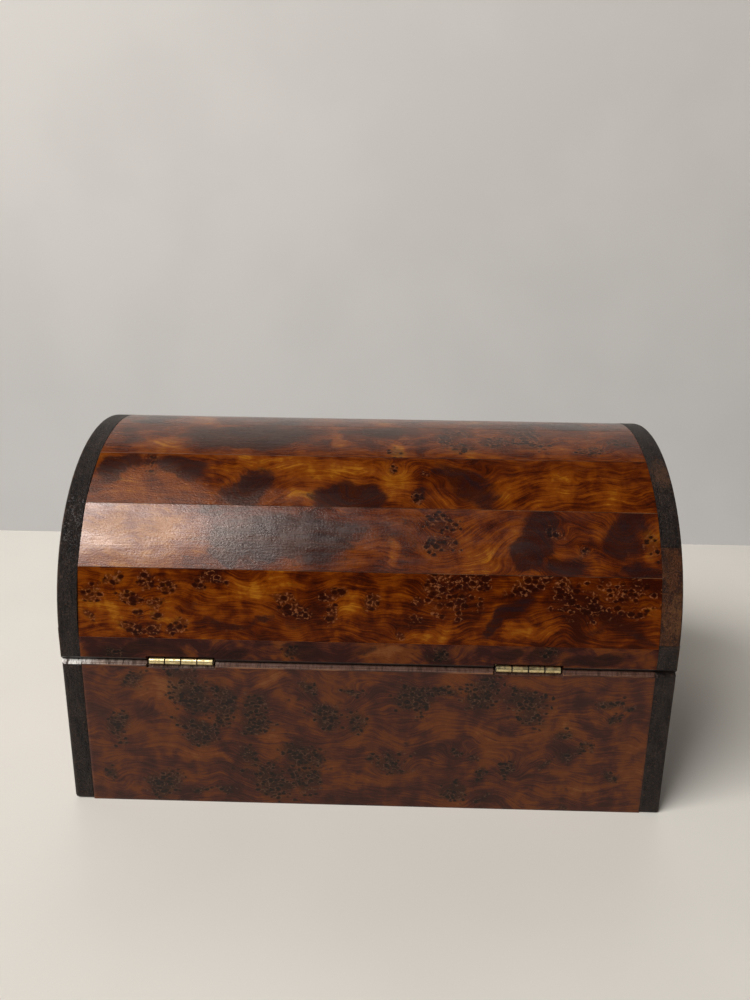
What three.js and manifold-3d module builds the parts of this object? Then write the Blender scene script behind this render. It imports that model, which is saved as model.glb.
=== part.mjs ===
// Domed jewelry box of burl wood: a base of four boards, a coopered lid on two rails, brass butt
// hinges let into the back seam, and a small cut lock in the front board.
// Millimetres. X runs along the box, -Y is the hinged back, +Y the lock side, +Z up.
// The origin is the centre of the underside.

import * as THREE from "three";
import { mergeVertices } from "three/addons/utils/BufferGeometryUtils.js";
import Module from "manifold-3d";

const wasm = await Module();
wasm.setup();

// Overall sizes
const boxWidth = 240;
const boxDepth = 146;
const baseHeight = 63;
const railHeight = 10;
const seamGap = 0.3;

// Boards, veneers and staves
const wallThickness = 8;
const veneerThickness = 0.8;
const bottomThickness = 6;
const endPanelThickness = 8;
const staveThickness = 5;
const edgingWidth = 8;
const seamChamfer = 1.5;
const liningThickness = 1;
const liningDrop = 1;
const fitGap = 0.1;
const cutMargin = 1;

// Angles on the dome, in degrees from the back springing line over the top
const staveJointAngles = [21.9, 42.1, 62.2, 82.3];
const leftBandJointAngle = 2.8;
const rightBandJointAngles = [1.2, 17.6, 31.2, 49.4];
const arcStep = 4.1;

// Butt hinges
const hingeLength = 25.4;
const leftHingeInset = 34.5;
const rightHingeInset = 44.5;
const barrelRadius = 1.4;
const boreRadius = 0.68;
const pinRadius = 0.6;
const knuckleCount = 4;
const knuckleGap = 0.15;
const leafThickness = 0.8;
const leafMargin = 0.5;
const leafBarrelGap = 0.3;
const pocketClearance = 0.3;
const recessSide = 0.8;
const recessDrop = 2.5;
const barrelSides = 20;
const screwSpacing = 14;

// Wood screws
const screwHeadRadius = 1.3;
const screwShankRadius = 0.65;
const screwTipRadius = 0.2;
const screwHeadDepth = 0.6;
const screwLength = 5.5;
const screwTipLength = 1.6;
const screwClearance = 0.06;
const screwSlotWidth = 0.35;
const screwSlotDepth = 0.3;
const screwSides = 14;

// Lock
const lockPlateWidth = 38;
const lockPlateThickness = 0.8;
const lockBodyWidth = 28;
const lockHeight = 18;
const lockCavityDepth = 3;
const lockShell = 0.8;
const lockSelvedge = 1.1;
const lockScrewSpacing = 33;
const lockScrewLength = 4;
const boltThrow = 3.5;
const boltLength = 9;
const boltHeight = 6.6;
const boltThickness = 2;
const boltFingerLength = 3.5;
const boltFingerHeight = 2;
const boltFingerThickness = 1;
const boltNotchWidth = 2.6;
const boltNotchHeight = 2.2;
const boltRunningGap = 0.15;
const boltTopGap = 1.3;
const shelfHeight = 1;
const shelfDepth = 1.1;
const keyDrop = 12;
const keyholeRadius = 1.6;
const keyholeSlotWidth = 1.4;
const keyholeSlotDrop = 4.2;
const escutcheonWidth = 10;
const escutcheonHeight = 15;
const staplePlateThickness = 1;
const stapleThickness = 1.2;
const stapleWidth = 2.4;
const stapleReach = 6;
const stapleFingerGap = 0.75;
const stapleSlotGap = 0.4;
const eyeGapSide = 0.2;
const eyeGapHeight = 0.3;
const roundSides = 24;

// Places that follow from the sizes
const endX = boxWidth / 2;
const outerY = boxDepth / 2;
const innerX = endX - wallThickness;
const innerY = outerY - wallThickness;
const bandX = endX - edgingWidth;
const panelInnerX = endX - endPanelThickness;
const edgingDepth = staveThickness;
const lidBottom = baseHeight + seamGap;
const springZ = lidBottom + railHeight;
const domeRadius = outerY;
const staveInnerRadius = domeRadius - staveThickness;
const axisY = -outerY + barrelRadius;
const axisZ = baseHeight + seamGap / 2;
const leafWidth = wallThickness - barrelRadius - leafMargin;
const lockY = innerY + lockPlateThickness + lockCavityDepth / 2;
const lockBodyBack = innerY + lockPlateThickness + lockCavityDepth + lockShell;
const lockBottom = baseHeight - lockHeight;
const keyZ = baseHeight - keyDrop;
const boltTop = baseHeight - lockSelvedge - boltTopGap;
const boltBottom = boltTop - boltHeight;
const boltLeft = -(boltLength + boltThrow) / 2;
const boltRight = boltLeft + boltLength;
const fingerTip = boltRight + boltFingerLength;
const fingerBottom = boltTop - boltFingerHeight;
const stapleLeft = fingerTip + stapleFingerGap;
const stapleRight = stapleLeft + stapleThickness;

// Finishes
function finish(color, roughness, metalness = 0) {
  return new THREE.MeshStandardMaterial({ color, roughness, metalness });
}

const burlLid = finish(0x7a3d14, 0.25);
const burlBase = finish(0x5a2c14, 0.35);
const ebonised = finish(0x26221f, 0.55);
const bareBand = finish(0x6b3f22, 0.5);
const carcassWood = finish(0x8f7a66, 0.8);
const felt = finish(0x5c1420, 0.95);
const brass = finish(0xb79a5b, 0.35, 1);
const steel = finish(0x8c8c88, 0.4, 1);

// Closed geometry to a solid, and back
function solidOf(geometry) {
  const bare = geometry.clone();
  bare.deleteAttribute("normal");
  bare.deleteAttribute("uv");
  const merged = mergeVertices(bare);
  return new wasm.Manifold(
    new wasm.Mesh({
      numProp: 3,
      vertProperties: new Float32Array(merged.attributes.position.array),
      triVerts: new Uint32Array(merged.index.array),
    }),
  );
}

function geometryOf(solid) {
  const mesh = solid.getMesh();
  const geometry = new THREE.BufferGeometry();
  geometry.setAttribute("position", new THREE.BufferAttribute(mesh.vertProperties, 3));
  geometry.setIndex(new THREE.BufferAttribute(mesh.triVerts, 1));
  const flat = geometry.toNonIndexed();
  flat.computeVertexNormals();
  return flat;
}

function cut(solid, ...cutters) {
  return cutters.reduce((left, cutter) => left.subtract(cutter), solid);
}

function join(first, ...others) {
  return others.reduce((sum, other) => sum.add(other), first);
}

// Box between two corners
function block([x0, y0, z0], [x1, y1, z1]) {
  const geometry = new THREE.BoxGeometry(x1 - x0, y1 - y0, z1 - z0);
  geometry.translate((x0 + x1) / 2, (y0 + y1) / 2, (z0 + z1) / 2);
  return solidOf(geometry);
}

function lowest(a, b) {
  return a.map((value, i) => Math.min(value, b[i]));
}

function highest(a, b) {
  return a.map((value, i) => Math.max(value, b[i]));
}

// A shape drawn in the plane of two axes, extruded along the third
function extruded(shape, depth, across, up, along, start) {
  const geometry = new THREE.ExtrudeGeometry(shape, {
    depth,
    bevelEnabled: false,
    curveSegments: roundSides / 2,
  });
  const basis = new THREE.Matrix4().makeBasis(across, up, along);
  geometry.applyMatrix4(basis.setPosition(start));
  return solidOf(geometry);
}

const unitX = new THREE.Vector3(1, 0, 0);
const unitY = new THREE.Vector3(0, 1, 0);
const unitZ = new THREE.Vector3(0, 0, 1);

// Shape points are (y, z)
function prismAlongX(shape, x0, x1) {
  return extruded(shape, x1 - x0, unitY, unitZ, unitX, new THREE.Vector3(x0, 0, 0));
}

// Shape points are (x, z)
function prismAlongY(shape, y0, y1) {
  const toBack = unitY.clone().negate();
  return extruded(shape, y1 - y0, unitX, unitZ, toBack, new THREE.Vector3(0, y1, 0));
}

// Shape points are (x, y)
function prismAlongZ(shape, z0, z1) {
  return extruded(shape, z1 - z0, unitX, unitY, unitZ, new THREE.Vector3(0, 0, z0));
}

function rodAlongX(radius, x0, x1, y, z) {
  const geometry = new THREE.CylinderGeometry(radius, radius, x1 - x0, barrelSides);
  geometry.rotateZ(Math.PI / 2);
  geometry.translate((x0 + x1) / 2, y, z);
  return solidOf(geometry);
}

function polygon(points) {
  return new THREE.Shape(points.map(([a, b]) => new THREE.Vector2(a, b)));
}

function rectangle(a0, a1, b0, b1) {
  return polygon([[a0, b0], [a1, b0], [a1, b1], [a0, b1]]);
}

// The assembly
const box = new THREE.Group();
box.name = "jewelry_box";
const base = new THREE.Group();
const lid = new THREE.Group();
const lockBolt = new THREE.Group();
box.add(base, lid, lockBolt);

function place(group, name, solid, material) {
  const mesh = new THREE.Mesh(geometryOf(solid), material);
  mesh.name = name;
  group.add(mesh);
}

// Point of the dome at a radius and an angle from the back springing line
function domePoint(radius, degrees) {
  const angle = THREE.MathUtils.degToRad(degrees);
  return [-radius * Math.cos(angle), springZ + radius * Math.sin(angle)];
}

function arcPoints(radius, from, to) {
  const steps = Math.max(1, Math.round((to - from) / arcStep));
  return Array.from({ length: steps + 1 }, (_, i) => {
    return domePoint(radius, from + ((to - from) * i) / steps);
  });
}

// Section of the dome's shell between two angles, with its straight foot at either seam
function shellSection(outer, inner, from, to, feet = {}) {
  const outside = arcPoints(outer, from, to);
  const inside = arcPoints(inner, from, to).reverse();
  if (feet.back) {
    outside.unshift([-outer, lidBottom]);
    inside.push([-inner, lidBottom]);
  }
  if (feet.front) {
    outside.push([outer, lidBottom]);
    inside.unshift([inner, lidBottom]);
  }
  return polygon([...outside, ...inside].reverse());
}

// Chamfers of the back seam, one on the base's edge and one on the lid's
function seamChamferCutter(edgeZ, side) {
  const far = -outerY - cutMargin;
  const inward = -outerY + seamChamfer + cutMargin;
  const points = [
    [far, edgeZ - side * (seamChamfer + cutMargin)],
    [inward, edgeZ + side * cutMargin],
    [far, edgeZ + side * cutMargin],
  ];
  const shape = polygon(side > 0 ? points : points.reverse());
  return prismAlongX(shape, -endX - cutMargin, endX + cutMargin);
}

const baseChamfer = seamChamferCutter(baseHeight, 1);
const lidChamfer = seamChamferCutter(lidBottom, -1);

// Wood screw, or the hole for one where grow is above zero. Its head is at the origin, facing up.
function screwSolid(length, grow) {
  const shank = screwShankRadius + grow;
  const profile = [
    [0, -length - grow],
    [screwTipRadius + grow, -length - grow],
    [shank, -length + screwTipLength],
    [shank, -screwHeadDepth],
    [screwHeadRadius + grow, 0],
    [0, 0],
  ].map(([r, z]) => new THREE.Vector2(r, z));
  const geometry = new THREE.LatheGeometry(profile, screwSides);
  geometry.rotateX(Math.PI / 2);
  return solidOf(geometry);
}

function screwSlot() {
  return block(
    [-screwSlotWidth / 2, -screwHeadRadius - cutMargin, -screwSlotDepth],
    [screwSlotWidth / 2, screwHeadRadius + cutMargin, cutMargin],
  );
}

function turned(solid, turn, [x, y, z]) {
  const geometry = geometryOf(solid);
  geometry.applyMatrix4(turn.clone().setPosition(x, y, z));
  return solidOf(geometry);
}

const headUp = new THREE.Matrix4();
const headDown = new THREE.Matrix4().makeRotationX(Math.PI);
const headBack = new THREE.Matrix4().makeRotationX(Math.PI / 2);

function screw(length, turn, at) {
  return turned(cut(screwSolid(length, 0), screwSlot()), turn, at);
}

function screwHole(length, turn, at) {
  return turned(screwSolid(length, screwClearance), turn, at);
}

// One butt hinge, whose barrel starts at x0
class Hinge {
  constructor(side, x0) {
    this.side = side;
    this.x0 = x0;
    this.x1 = x0 + hingeLength;
    const middle = (this.x0 + this.x1) / 2;
    this.screwX = [middle - screwSpacing / 2, middle + screwSpacing / 2];
    this.screwY = axisY + (barrelRadius + leafWidth) / 2;
  }

  // Room around the barrel and behind it, open to the back
  pocket() {
    const x0 = this.x0 - recessSide;
    const x1 = this.x1 + recessSide;
    return join(
      rodAlongX(barrelRadius + pocketClearance, x0, x1, axisY, axisZ),
      block([x0, -outerY - cutMargin, axisZ - recessDrop], [x1, axisY, axisZ + recessDrop]),
    );
  }

  leafMortise(z0, z1) {
    const y1 = axisY + leafWidth + fitGap;
    return block([this.x0 - fitGap, axisY, z0], [this.x1 + fitGap, y1, z1]);
  }

  baseCutters() {
    return [
      this.pocket(),
      this.leafMortise(baseHeight - leafThickness - fitGap, baseHeight + cutMargin),
      ...this.screwX.map((x) => screwHole(screwLength, headUp, [x, this.screwY, baseHeight])),
    ];
  }

  lidCutters() {
    return [
      this.pocket(),
      this.leafMortise(lidBottom - cutMargin, lidBottom + leafThickness + fitGap),
      ...this.screwX.map((x) => screwHole(screwLength, headDown, [x, this.screwY, lidBottom])),
    ];
  }

  // A leaf with its own knuckles: parity 0 takes the first and third, parity 1 the second and fourth
  leaf(z0, z1, parity, holes) {
    const pitch = hingeLength / knuckleCount;
    const plateY = axisY + barrelRadius + leafBarrelGap;
    const endY = axisY + leafWidth;
    let leaf = block([this.x0, plateY, z0], [this.x1, endY, z1]);
    for (let i = parity; i < knuckleCount; i += 2) {
      const x0 = this.x0 + i * pitch + knuckleGap / 2;
      const x1 = x0 + pitch - knuckleGap;
      leaf = join(
        leaf,
        rodAlongX(barrelRadius, x0, x1, axisY, axisZ),
        block([x0, axisY + boreRadius, z0], [x1, plateY + leafBarrelGap, z1]),
      );
    }
    const bore = rodAlongX(boreRadius, this.x0 - cutMargin, this.x1 + cutMargin, axisY, axisZ);
    return cut(leaf, bore, ...holes);
  }

  build() {
    const lowerAt = this.screwX.map((x) => [x, this.screwY, baseHeight]);
    const upperAt = this.screwX.map((x) => [x, this.screwY, lidBottom]);
    const lowerHoles = lowerAt.map((at) => screwHole(screwLength, headUp, at));
    const upperHoles = upperAt.map((at) => screwHole(screwLength, headDown, at));
    const lower = this.leaf(baseHeight - leafThickness, baseHeight, 0, lowerHoles);
    const upper = this.leaf(lidBottom, lidBottom + leafThickness, 1, upperHoles);
    place(base, `${this.side}_hinge_base_leaf`, lower, brass);
    place(lid, `${this.side}_hinge_lid_leaf`, upper, brass);
    place(base, `${this.side}_hinge_pin`, rodAlongX(pinRadius, this.x0, this.x1, axisY, axisZ), steel);
    lowerAt.forEach((at, i) => {
      place(base, `${this.side}_hinge_base_screw_${i + 1}`, screw(screwLength, headUp, at), brass);
    });
    upperAt.forEach((at, i) => {
      place(lid, `${this.side}_hinge_lid_screw_${i + 1}`, screw(screwLength, headDown, at), brass);
    });
  }
}

const hinges = [
  new Hinge("left", -endX + leftHingeInset),
  new Hinge("right", endX - rightHingeInset - hingeLength),
];

// Keyhole outline: a round top with a slot below it
function keyholeShape() {
  const half = keyholeSlotWidth / 2;
  const open = Math.asin(half / keyholeRadius);
  const shape = new THREE.Shape();
  shape.absarc(0, keyZ, keyholeRadius, -Math.PI / 2 + open, (Math.PI * 3) / 2 - open, false);
  shape.lineTo(-half, keyZ - keyholeSlotDrop);
  shape.lineTo(half, keyZ - keyholeSlotDrop);
  shape.closePath();
  return shape;
}

function escutcheonShape(grow) {
  const shape = new THREE.Shape();
  const centreZ = keyZ - keyholeSlotDrop / 2 + keyholeRadius / 2;
  const halfWidth = escutcheonWidth / 2 + grow;
  const halfHeight = escutcheonHeight / 2 + grow;
  shape.absellipse(0, centreZ, halfWidth, halfHeight, 0, 2 * Math.PI);
  return shape;
}

const keyhole = prismAlongY(keyholeShape(), innerY, outerY + cutMargin);

// Lock screws stand in the plate at both sides of the body, heads on the inner face
const lockScrewAt = [-1, 1].map((side) => {
  return [(side * lockScrewSpacing) / 2, innerY, baseHeight - lockHeight / 2];
});

function buildLock() {
  const halfBody = lockBodyWidth / 2;
  const halfPlate = lockPlateWidth / 2;
  const cavityFront = innerY + lockPlateThickness;
  const cavityBack = cavityFront + lockCavityDepth;
  const cavityTop = baseHeight - lockSelvedge;
  const shelfTop = boltBottom - boltRunningGap;
  const insideX = halfBody - lockShell;
  let lockCase = join(
    block([-halfPlate, innerY, lockBottom], [halfPlate, cavityFront, baseHeight]),
    block([-halfBody, innerY, lockBottom], [halfBody, lockBodyBack, baseHeight]),
  );
  lockCase = cut(
    lockCase,
    block([-insideX, cavityFront, lockBottom + lockShell], [insideX, cavityBack, cavityTop]),
    block(
      [stapleLeft - stapleSlotGap, cavityFront, cavityTop - cutMargin],
      [stapleRight + stapleSlotGap, cavityBack, baseHeight + cutMargin],
    ),
    prismAlongY(keyholeShape(), cavityBack - cutMargin, lockBodyBack + cutMargin),
    ...lockScrewAt.map((at) => screwHole(lockScrewLength, headBack, at)),
  );
  lockCase = join(
    lockCase,
    block([-halfBody, innerY, shelfTop - shelfHeight], [halfBody, cavityFront + shelfDepth, shelfTop]),
    block(
      [-halfBody, innerY, boltTop + boltRunningGap],
      [boltRight, cavityFront + shelfDepth, baseHeight],
    ),
  );
  place(base, "lock_case", lockCase, brass);
  lockScrewAt.forEach((at, i) => {
    place(base, `lock_screw_${i + 1}`, screw(lockScrewLength, headBack, at), brass);
  });
  const plate = cut(prismAlongY(escutcheonShape(0), outerY - veneerThickness, outerY), keyhole);
  place(base, "keyhole_escutcheon", plate, brass);

  const middle = (boltLeft + boltRight) / 2;
  const bolt = cut(
    join(
      block(
        [boltLeft, lockY - boltThickness / 2, boltBottom],
        [boltRight, lockY + boltThickness / 2, boltTop],
      ),
      block(
        [middle, lockY - boltFingerThickness / 2, fingerBottom],
        [fingerTip, lockY + boltFingerThickness / 2, boltTop],
      ),
    ),
    block(
      [middle - boltNotchWidth / 2, lockY - boltThickness, boltBottom - cutMargin],
      [middle + boltNotchWidth / 2, lockY + boltThickness, boltBottom + boltNotchHeight],
    ),
  );
  place(lockBolt, "lock_bolt", bolt, steel);
}

// Link plate under the lid's front rail, whose staple enters the lock
const linkScrewAt = [-1, 1].map((side) => [(side * lockScrewSpacing) / 2, lockY, lidBottom]);

function linkPlateMortise() {
  const half = lockPlateWidth / 2 + fitGap;
  return block(
    [-half, innerY - cutMargin, lidBottom - cutMargin],
    [half, lockBodyBack + fitGap, lidBottom + staplePlateThickness + fitGap],
  );
}

function buildLinkPlate() {
  const half = lockPlateWidth / 2;
  const halfEye = boltFingerThickness / 2 + eyeGapSide;
  const plate = cut(
    join(
      block([-half, innerY, lidBottom], [half, lockBodyBack, lidBottom + staplePlateThickness]),
      block(
        [stapleLeft, lockY - stapleWidth / 2, lidBottom - stapleReach],
        [stapleRight, lockY + stapleWidth / 2, lidBottom],
      ),
    ),
    block(
      [stapleLeft - cutMargin, lockY - halfEye, fingerBottom - eyeGapHeight],
      [stapleRight + cutMargin, lockY + halfEye, boltTop + eyeGapHeight],
    ),
    ...linkScrewAt.map((at) => screwHole(screwLength, headDown, at)),
  );
  place(lid, "link_plate", plate, brass);
  linkScrewAt.forEach((at, i) => {
    place(lid, `link_plate_screw_${i + 1}`, screw(screwLength, headDown, at), brass);
  });
}

// Base: bottom board, four walls, their veneers and the corner edging
function buildBase() {
  const coreY = outerY - veneerThickness;
  const coreX = endX - veneerThickness;
  const endWallY = outerY - edgingDepth;
  const hingeCutters = hinges.flatMap((hinge) => hinge.baseCutters());

  place(
    base,
    "bottom_board",
    block([-innerX, -innerY, 0], [innerX, innerY, bottomThickness]),
    carcassWood,
  );

  // The front and back boards run over the ends of the side boards, with a rebate for the edging
  const rebates = [-1, 1].flatMap((x) => [-1, 1].map((y) => {
    const near = [x * bandX, y * endWallY, -cutMargin];
    const far = [x * (endX + cutMargin), y * (outerY + cutMargin), baseHeight + cutMargin];
    return block(lowest(near, far), highest(near, far));
  }));
  const backWall = block([-coreX, -coreY, 0], [coreX, -innerY, baseHeight]);
  place(base, "back_wall", cut(backWall, ...rebates, baseChamfer, ...hingeCutters), carcassWood);
  const backVeneer = block([-bandX, -outerY, 0], [bandX, -coreY, baseHeight]);
  place(base, "back_veneer", cut(backVeneer, baseChamfer, ...hingeCutters), burlBase);

  const frontWall = cut(
    block([-coreX, innerY, 0], [coreX, coreY, baseHeight]),
    ...rebates,
    block(
      [-lockBodyWidth / 2 - fitGap, innerY - cutMargin, lockBottom - fitGap],
      [lockBodyWidth / 2 + fitGap, lockBodyBack + fitGap, baseHeight + cutMargin],
    ),
    block(
      [-lockPlateWidth / 2 - fitGap, innerY - cutMargin, lockBottom - fitGap],
      [lockPlateWidth / 2 + fitGap, innerY + lockPlateThickness + fitGap, baseHeight + cutMargin],
    ),
    keyhole,
    ...lockScrewAt.map((at) => screwHole(lockScrewLength, headBack, at)),
  );
  place(base, "front_wall", frontWall, carcassWood);
  const frontVeneer = cut(
    block([-bandX, coreY, 0], [bandX, outerY, baseHeight]),
    prismAlongY(escutcheonShape(fitGap), coreY - cutMargin, outerY + cutMargin),
  );
  place(base, "front_veneer", frontVeneer, burlBase);

  for (const [side, x] of [["left", -1], ["right", 1]]) {
    const part = (from, to) => block(lowest(from, to), highest(from, to));
    const wall = part([x * innerX, -innerY, 0], [x * coreX, innerY, baseHeight]);
    place(base, `${side}_wall`, wall, carcassWood);
    const veneer = part([x * coreX, -endWallY, 0], [x * endX, endWallY, baseHeight]);
    place(base, `${side}_veneer`, veneer, burlBase);
    const backStrip = part([x * bandX, -outerY, 0], [x * endX, -endWallY, baseHeight]);
    place(base, `back_${side}_corner_edging`, cut(backStrip, baseChamfer), ebonised);
    const frontStrip = part([x * bandX, endWallY, 0], [x * endX, outerY, baseHeight]);
    place(base, `front_${side}_corner_edging`, frontStrip, ebonised);
  }
}

// Felt of the base: a pad on the bottom board and one band round the walls
function buildBaseLining() {
  const outX = innerX - fitGap;
  const outY = innerY - fitGap;
  const inX = outX - liningThickness;
  const inY = outY - liningThickness;
  const ring = rectangle(-outX, outX, -outY, outY);
  ring.holes.push(rectangle(-inX, inX, -inY, inY));
  const lockNotch = block(
    [-lockPlateWidth / 2 - fitGap, inY - cutMargin, lockBottom - fitGap],
    [lockPlateWidth / 2 + fitGap, innerY, baseHeight],
  );
  const walls = prismAlongZ(ring, bottomThickness + fitGap, baseHeight - liningDrop);
  place(base, "wall_lining", cut(walls, lockNotch), felt);
  const padX = inX - fitGap;
  const padY = inY - fitGap;
  const padTop = bottomThickness + fitGap + liningThickness;
  const pad = block([-padX, -padY, bottomThickness + fitGap], [padX, padY, padTop]);
  place(base, "floor_lining", pad, felt);
}

// Lid: rails, nine staves, two end panels and the banded ends of the dome
function buildLid() {
  const hingeCutters = hinges.flatMap((hinge) => hinge.lidCutters());
  const backRail = join(
    block([-bandX, -outerY, lidBottom], [bandX, -staveInnerRadius, springZ]),
    block([-panelInnerX, -staveInnerRadius, lidBottom], [panelInnerX, -innerY, springZ]),
  );
  place(lid, "back_rail", cut(backRail, lidChamfer, ...hingeCutters), burlLid);
  const frontRail = join(
    block([-bandX, staveInnerRadius, lidBottom], [bandX, outerY, springZ]),
    block([-panelInnerX, innerY, lidBottom], [panelInnerX, staveInnerRadius, springZ]),
  );
  const linkHoles = linkScrewAt.map((at) => screwHole(screwLength, headDown, at));
  place(lid, "front_rail", cut(frontRail, linkPlateMortise(), ...linkHoles), burlLid);

  const mirrored = staveJointAngles.map((angle) => 180 - angle).reverse();
  const joints = [0, ...staveJointAngles, ...mirrored, 180];
  joints.slice(1).forEach((to, i) => {
    const shape = shellSection(domeRadius, staveInnerRadius, joints[i], to);
    place(lid, `stave_${i + 1}`, prismAlongX(shape, -bandX, bandX), burlLid);
  });

  const panelRadius = staveInnerRadius - fitGap;
  const panelShape = polygon([
    [panelRadius, lidBottom],
    ...arcPoints(panelRadius, 0, 180).reverse(),
    [-panelRadius, lidBottom],
  ]);
  place(lid, "left_end_panel", prismAlongX(panelShape, -endX, -panelInnerX), burlLid);
  place(lid, "right_end_panel", prismAlongX(panelShape, panelInnerX, endX), burlLid);
}

function buildBand(side, x0, angles, pieces) {
  const stops = [0, ...angles, 180];
  pieces.forEach(([name, material], i) => {
    const last = i === pieces.length - 1;
    const feet = { back: i === 0, front: last };
    const shape = shellSection(domeRadius, staveInnerRadius, stops[i], stops[i + 1], feet);
    const band = prismAlongX(shape, x0, x0 + edgingWidth);
    place(lid, `${side}_band_${name}`, i === 0 ? cut(band, lidChamfer) : band, material);
  });
}

// Felt of the lid: a sheet under the staves and one at each end
function buildLidLining() {
  const outer = staveInnerRadius - fitGap;
  const inner = outer - liningThickness;
  const halfX = panelInnerX - fitGap;
  const sheet = shellSection(outer, inner, 0, 180);
  place(lid, "dome_lining", prismAlongX(sheet, -halfX, halfX), felt);

  const endRadius = inner - fitGap;
  const betweenRails = innerY - fitGap;
  const endShape = polygon([
    [betweenRails, lidBottom + liningDrop],
    [betweenRails, springZ],
    ...arcPoints(endRadius, 0, 180).reverse(),
    [-betweenRails, springZ],
    [-betweenRails, lidBottom + liningDrop],
  ]);
  const left = prismAlongX(endShape, -halfX, -halfX + liningThickness);
  const right = prismAlongX(endShape, halfX - liningThickness, halfX);
  place(lid, "left_end_lining", left, felt);
  place(lid, "right_end_lining", right, felt);
}

buildBase();
buildBaseLining();
buildLid();
buildBand("left", -endX, [leftBandJointAngle], [["foot", ebonised], ["arch", ebonised]]);
buildBand("right", bandX, rightBandJointAngles, [
  ["foot", ebonised],
  ["bare_lower", bareBand],
  ["bare_upper", bareBand],
  ["shoulder", ebonised],
  ["arch", ebonised],
]);
buildLidLining();
hinges.forEach((hinge) => hinge.build());
buildLock();
buildLinkPlate();

export default box;
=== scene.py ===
"""Looks of a small domed jewelry box of burl wood: staves, veneers, edging, hinges, lock, felt and studio."""

import logging
import math
from collections.abc import Callable, Iterable, Sequence
from dataclasses import dataclass, field, replace
from enum import Enum

import bmesh
import bpy
import numpy as np
from mathutils import Matrix, Vector


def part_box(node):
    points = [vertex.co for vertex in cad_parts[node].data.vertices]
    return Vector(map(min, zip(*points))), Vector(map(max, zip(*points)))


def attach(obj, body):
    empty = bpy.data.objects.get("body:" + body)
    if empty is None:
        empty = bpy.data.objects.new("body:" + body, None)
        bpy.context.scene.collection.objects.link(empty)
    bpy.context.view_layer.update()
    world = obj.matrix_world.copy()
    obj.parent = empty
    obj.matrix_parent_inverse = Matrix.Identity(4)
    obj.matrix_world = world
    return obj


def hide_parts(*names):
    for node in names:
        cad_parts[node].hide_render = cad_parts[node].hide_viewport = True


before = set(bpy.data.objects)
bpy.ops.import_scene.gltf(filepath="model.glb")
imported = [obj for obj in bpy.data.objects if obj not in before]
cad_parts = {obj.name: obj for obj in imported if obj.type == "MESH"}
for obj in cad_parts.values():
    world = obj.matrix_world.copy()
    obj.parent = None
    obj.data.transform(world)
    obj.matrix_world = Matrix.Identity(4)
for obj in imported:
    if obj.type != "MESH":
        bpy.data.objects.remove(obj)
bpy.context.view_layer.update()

MM = 0.001
STAVES = 9

# Metres within which points count as on a line or plane, and as one point
SNAP = 0.01 * MM
MERGE = SNAP / 4

# The least angles of a square edge, of an edge that is eased and of a chamfer's rim
SQUARE_DEG = 60.0
EASED_DEG = 40.0
RIM_DEG = 28.6

# How far wear reaches from an edge, in mm
WEAR_REACH = 1.6

Colour = tuple[float, float, float]

log = logging.getLogger("jewelry_box")


class Body(Enum):
    """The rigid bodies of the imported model."""

    BASE = "base"
    LID = "lid"
    BOLT = "bolt"


class Slot(Enum):
    """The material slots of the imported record."""

    BURL_LID = "burl_lid"
    BURL_BASE = "burl_base"
    EBONISED = "ebonised_edging"
    BARE = "bare_edging"
    CARCASS = "carcass_wood"
    FELT = "felt"
    BRASS = "brass"
    SCREWS = "brass_screws"
    STEEL = "steel"


class Veneer(Enum):
    """The lots of burl veneer that the box is laid with."""

    LID = "lid"
    GLOSSY = "glossy"
    LOWER = "lower"
    RAIL = "rail"
    BASE = "base"


class Face(Enum):
    """The side of the box that a flat panel faces: its axis, and which way along it."""

    BACK = (1, -1)
    FRONT = (1, 1)
    LEFT = (0, -1)
    RIGHT = (0, 1)


# Shader graph helpers


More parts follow.
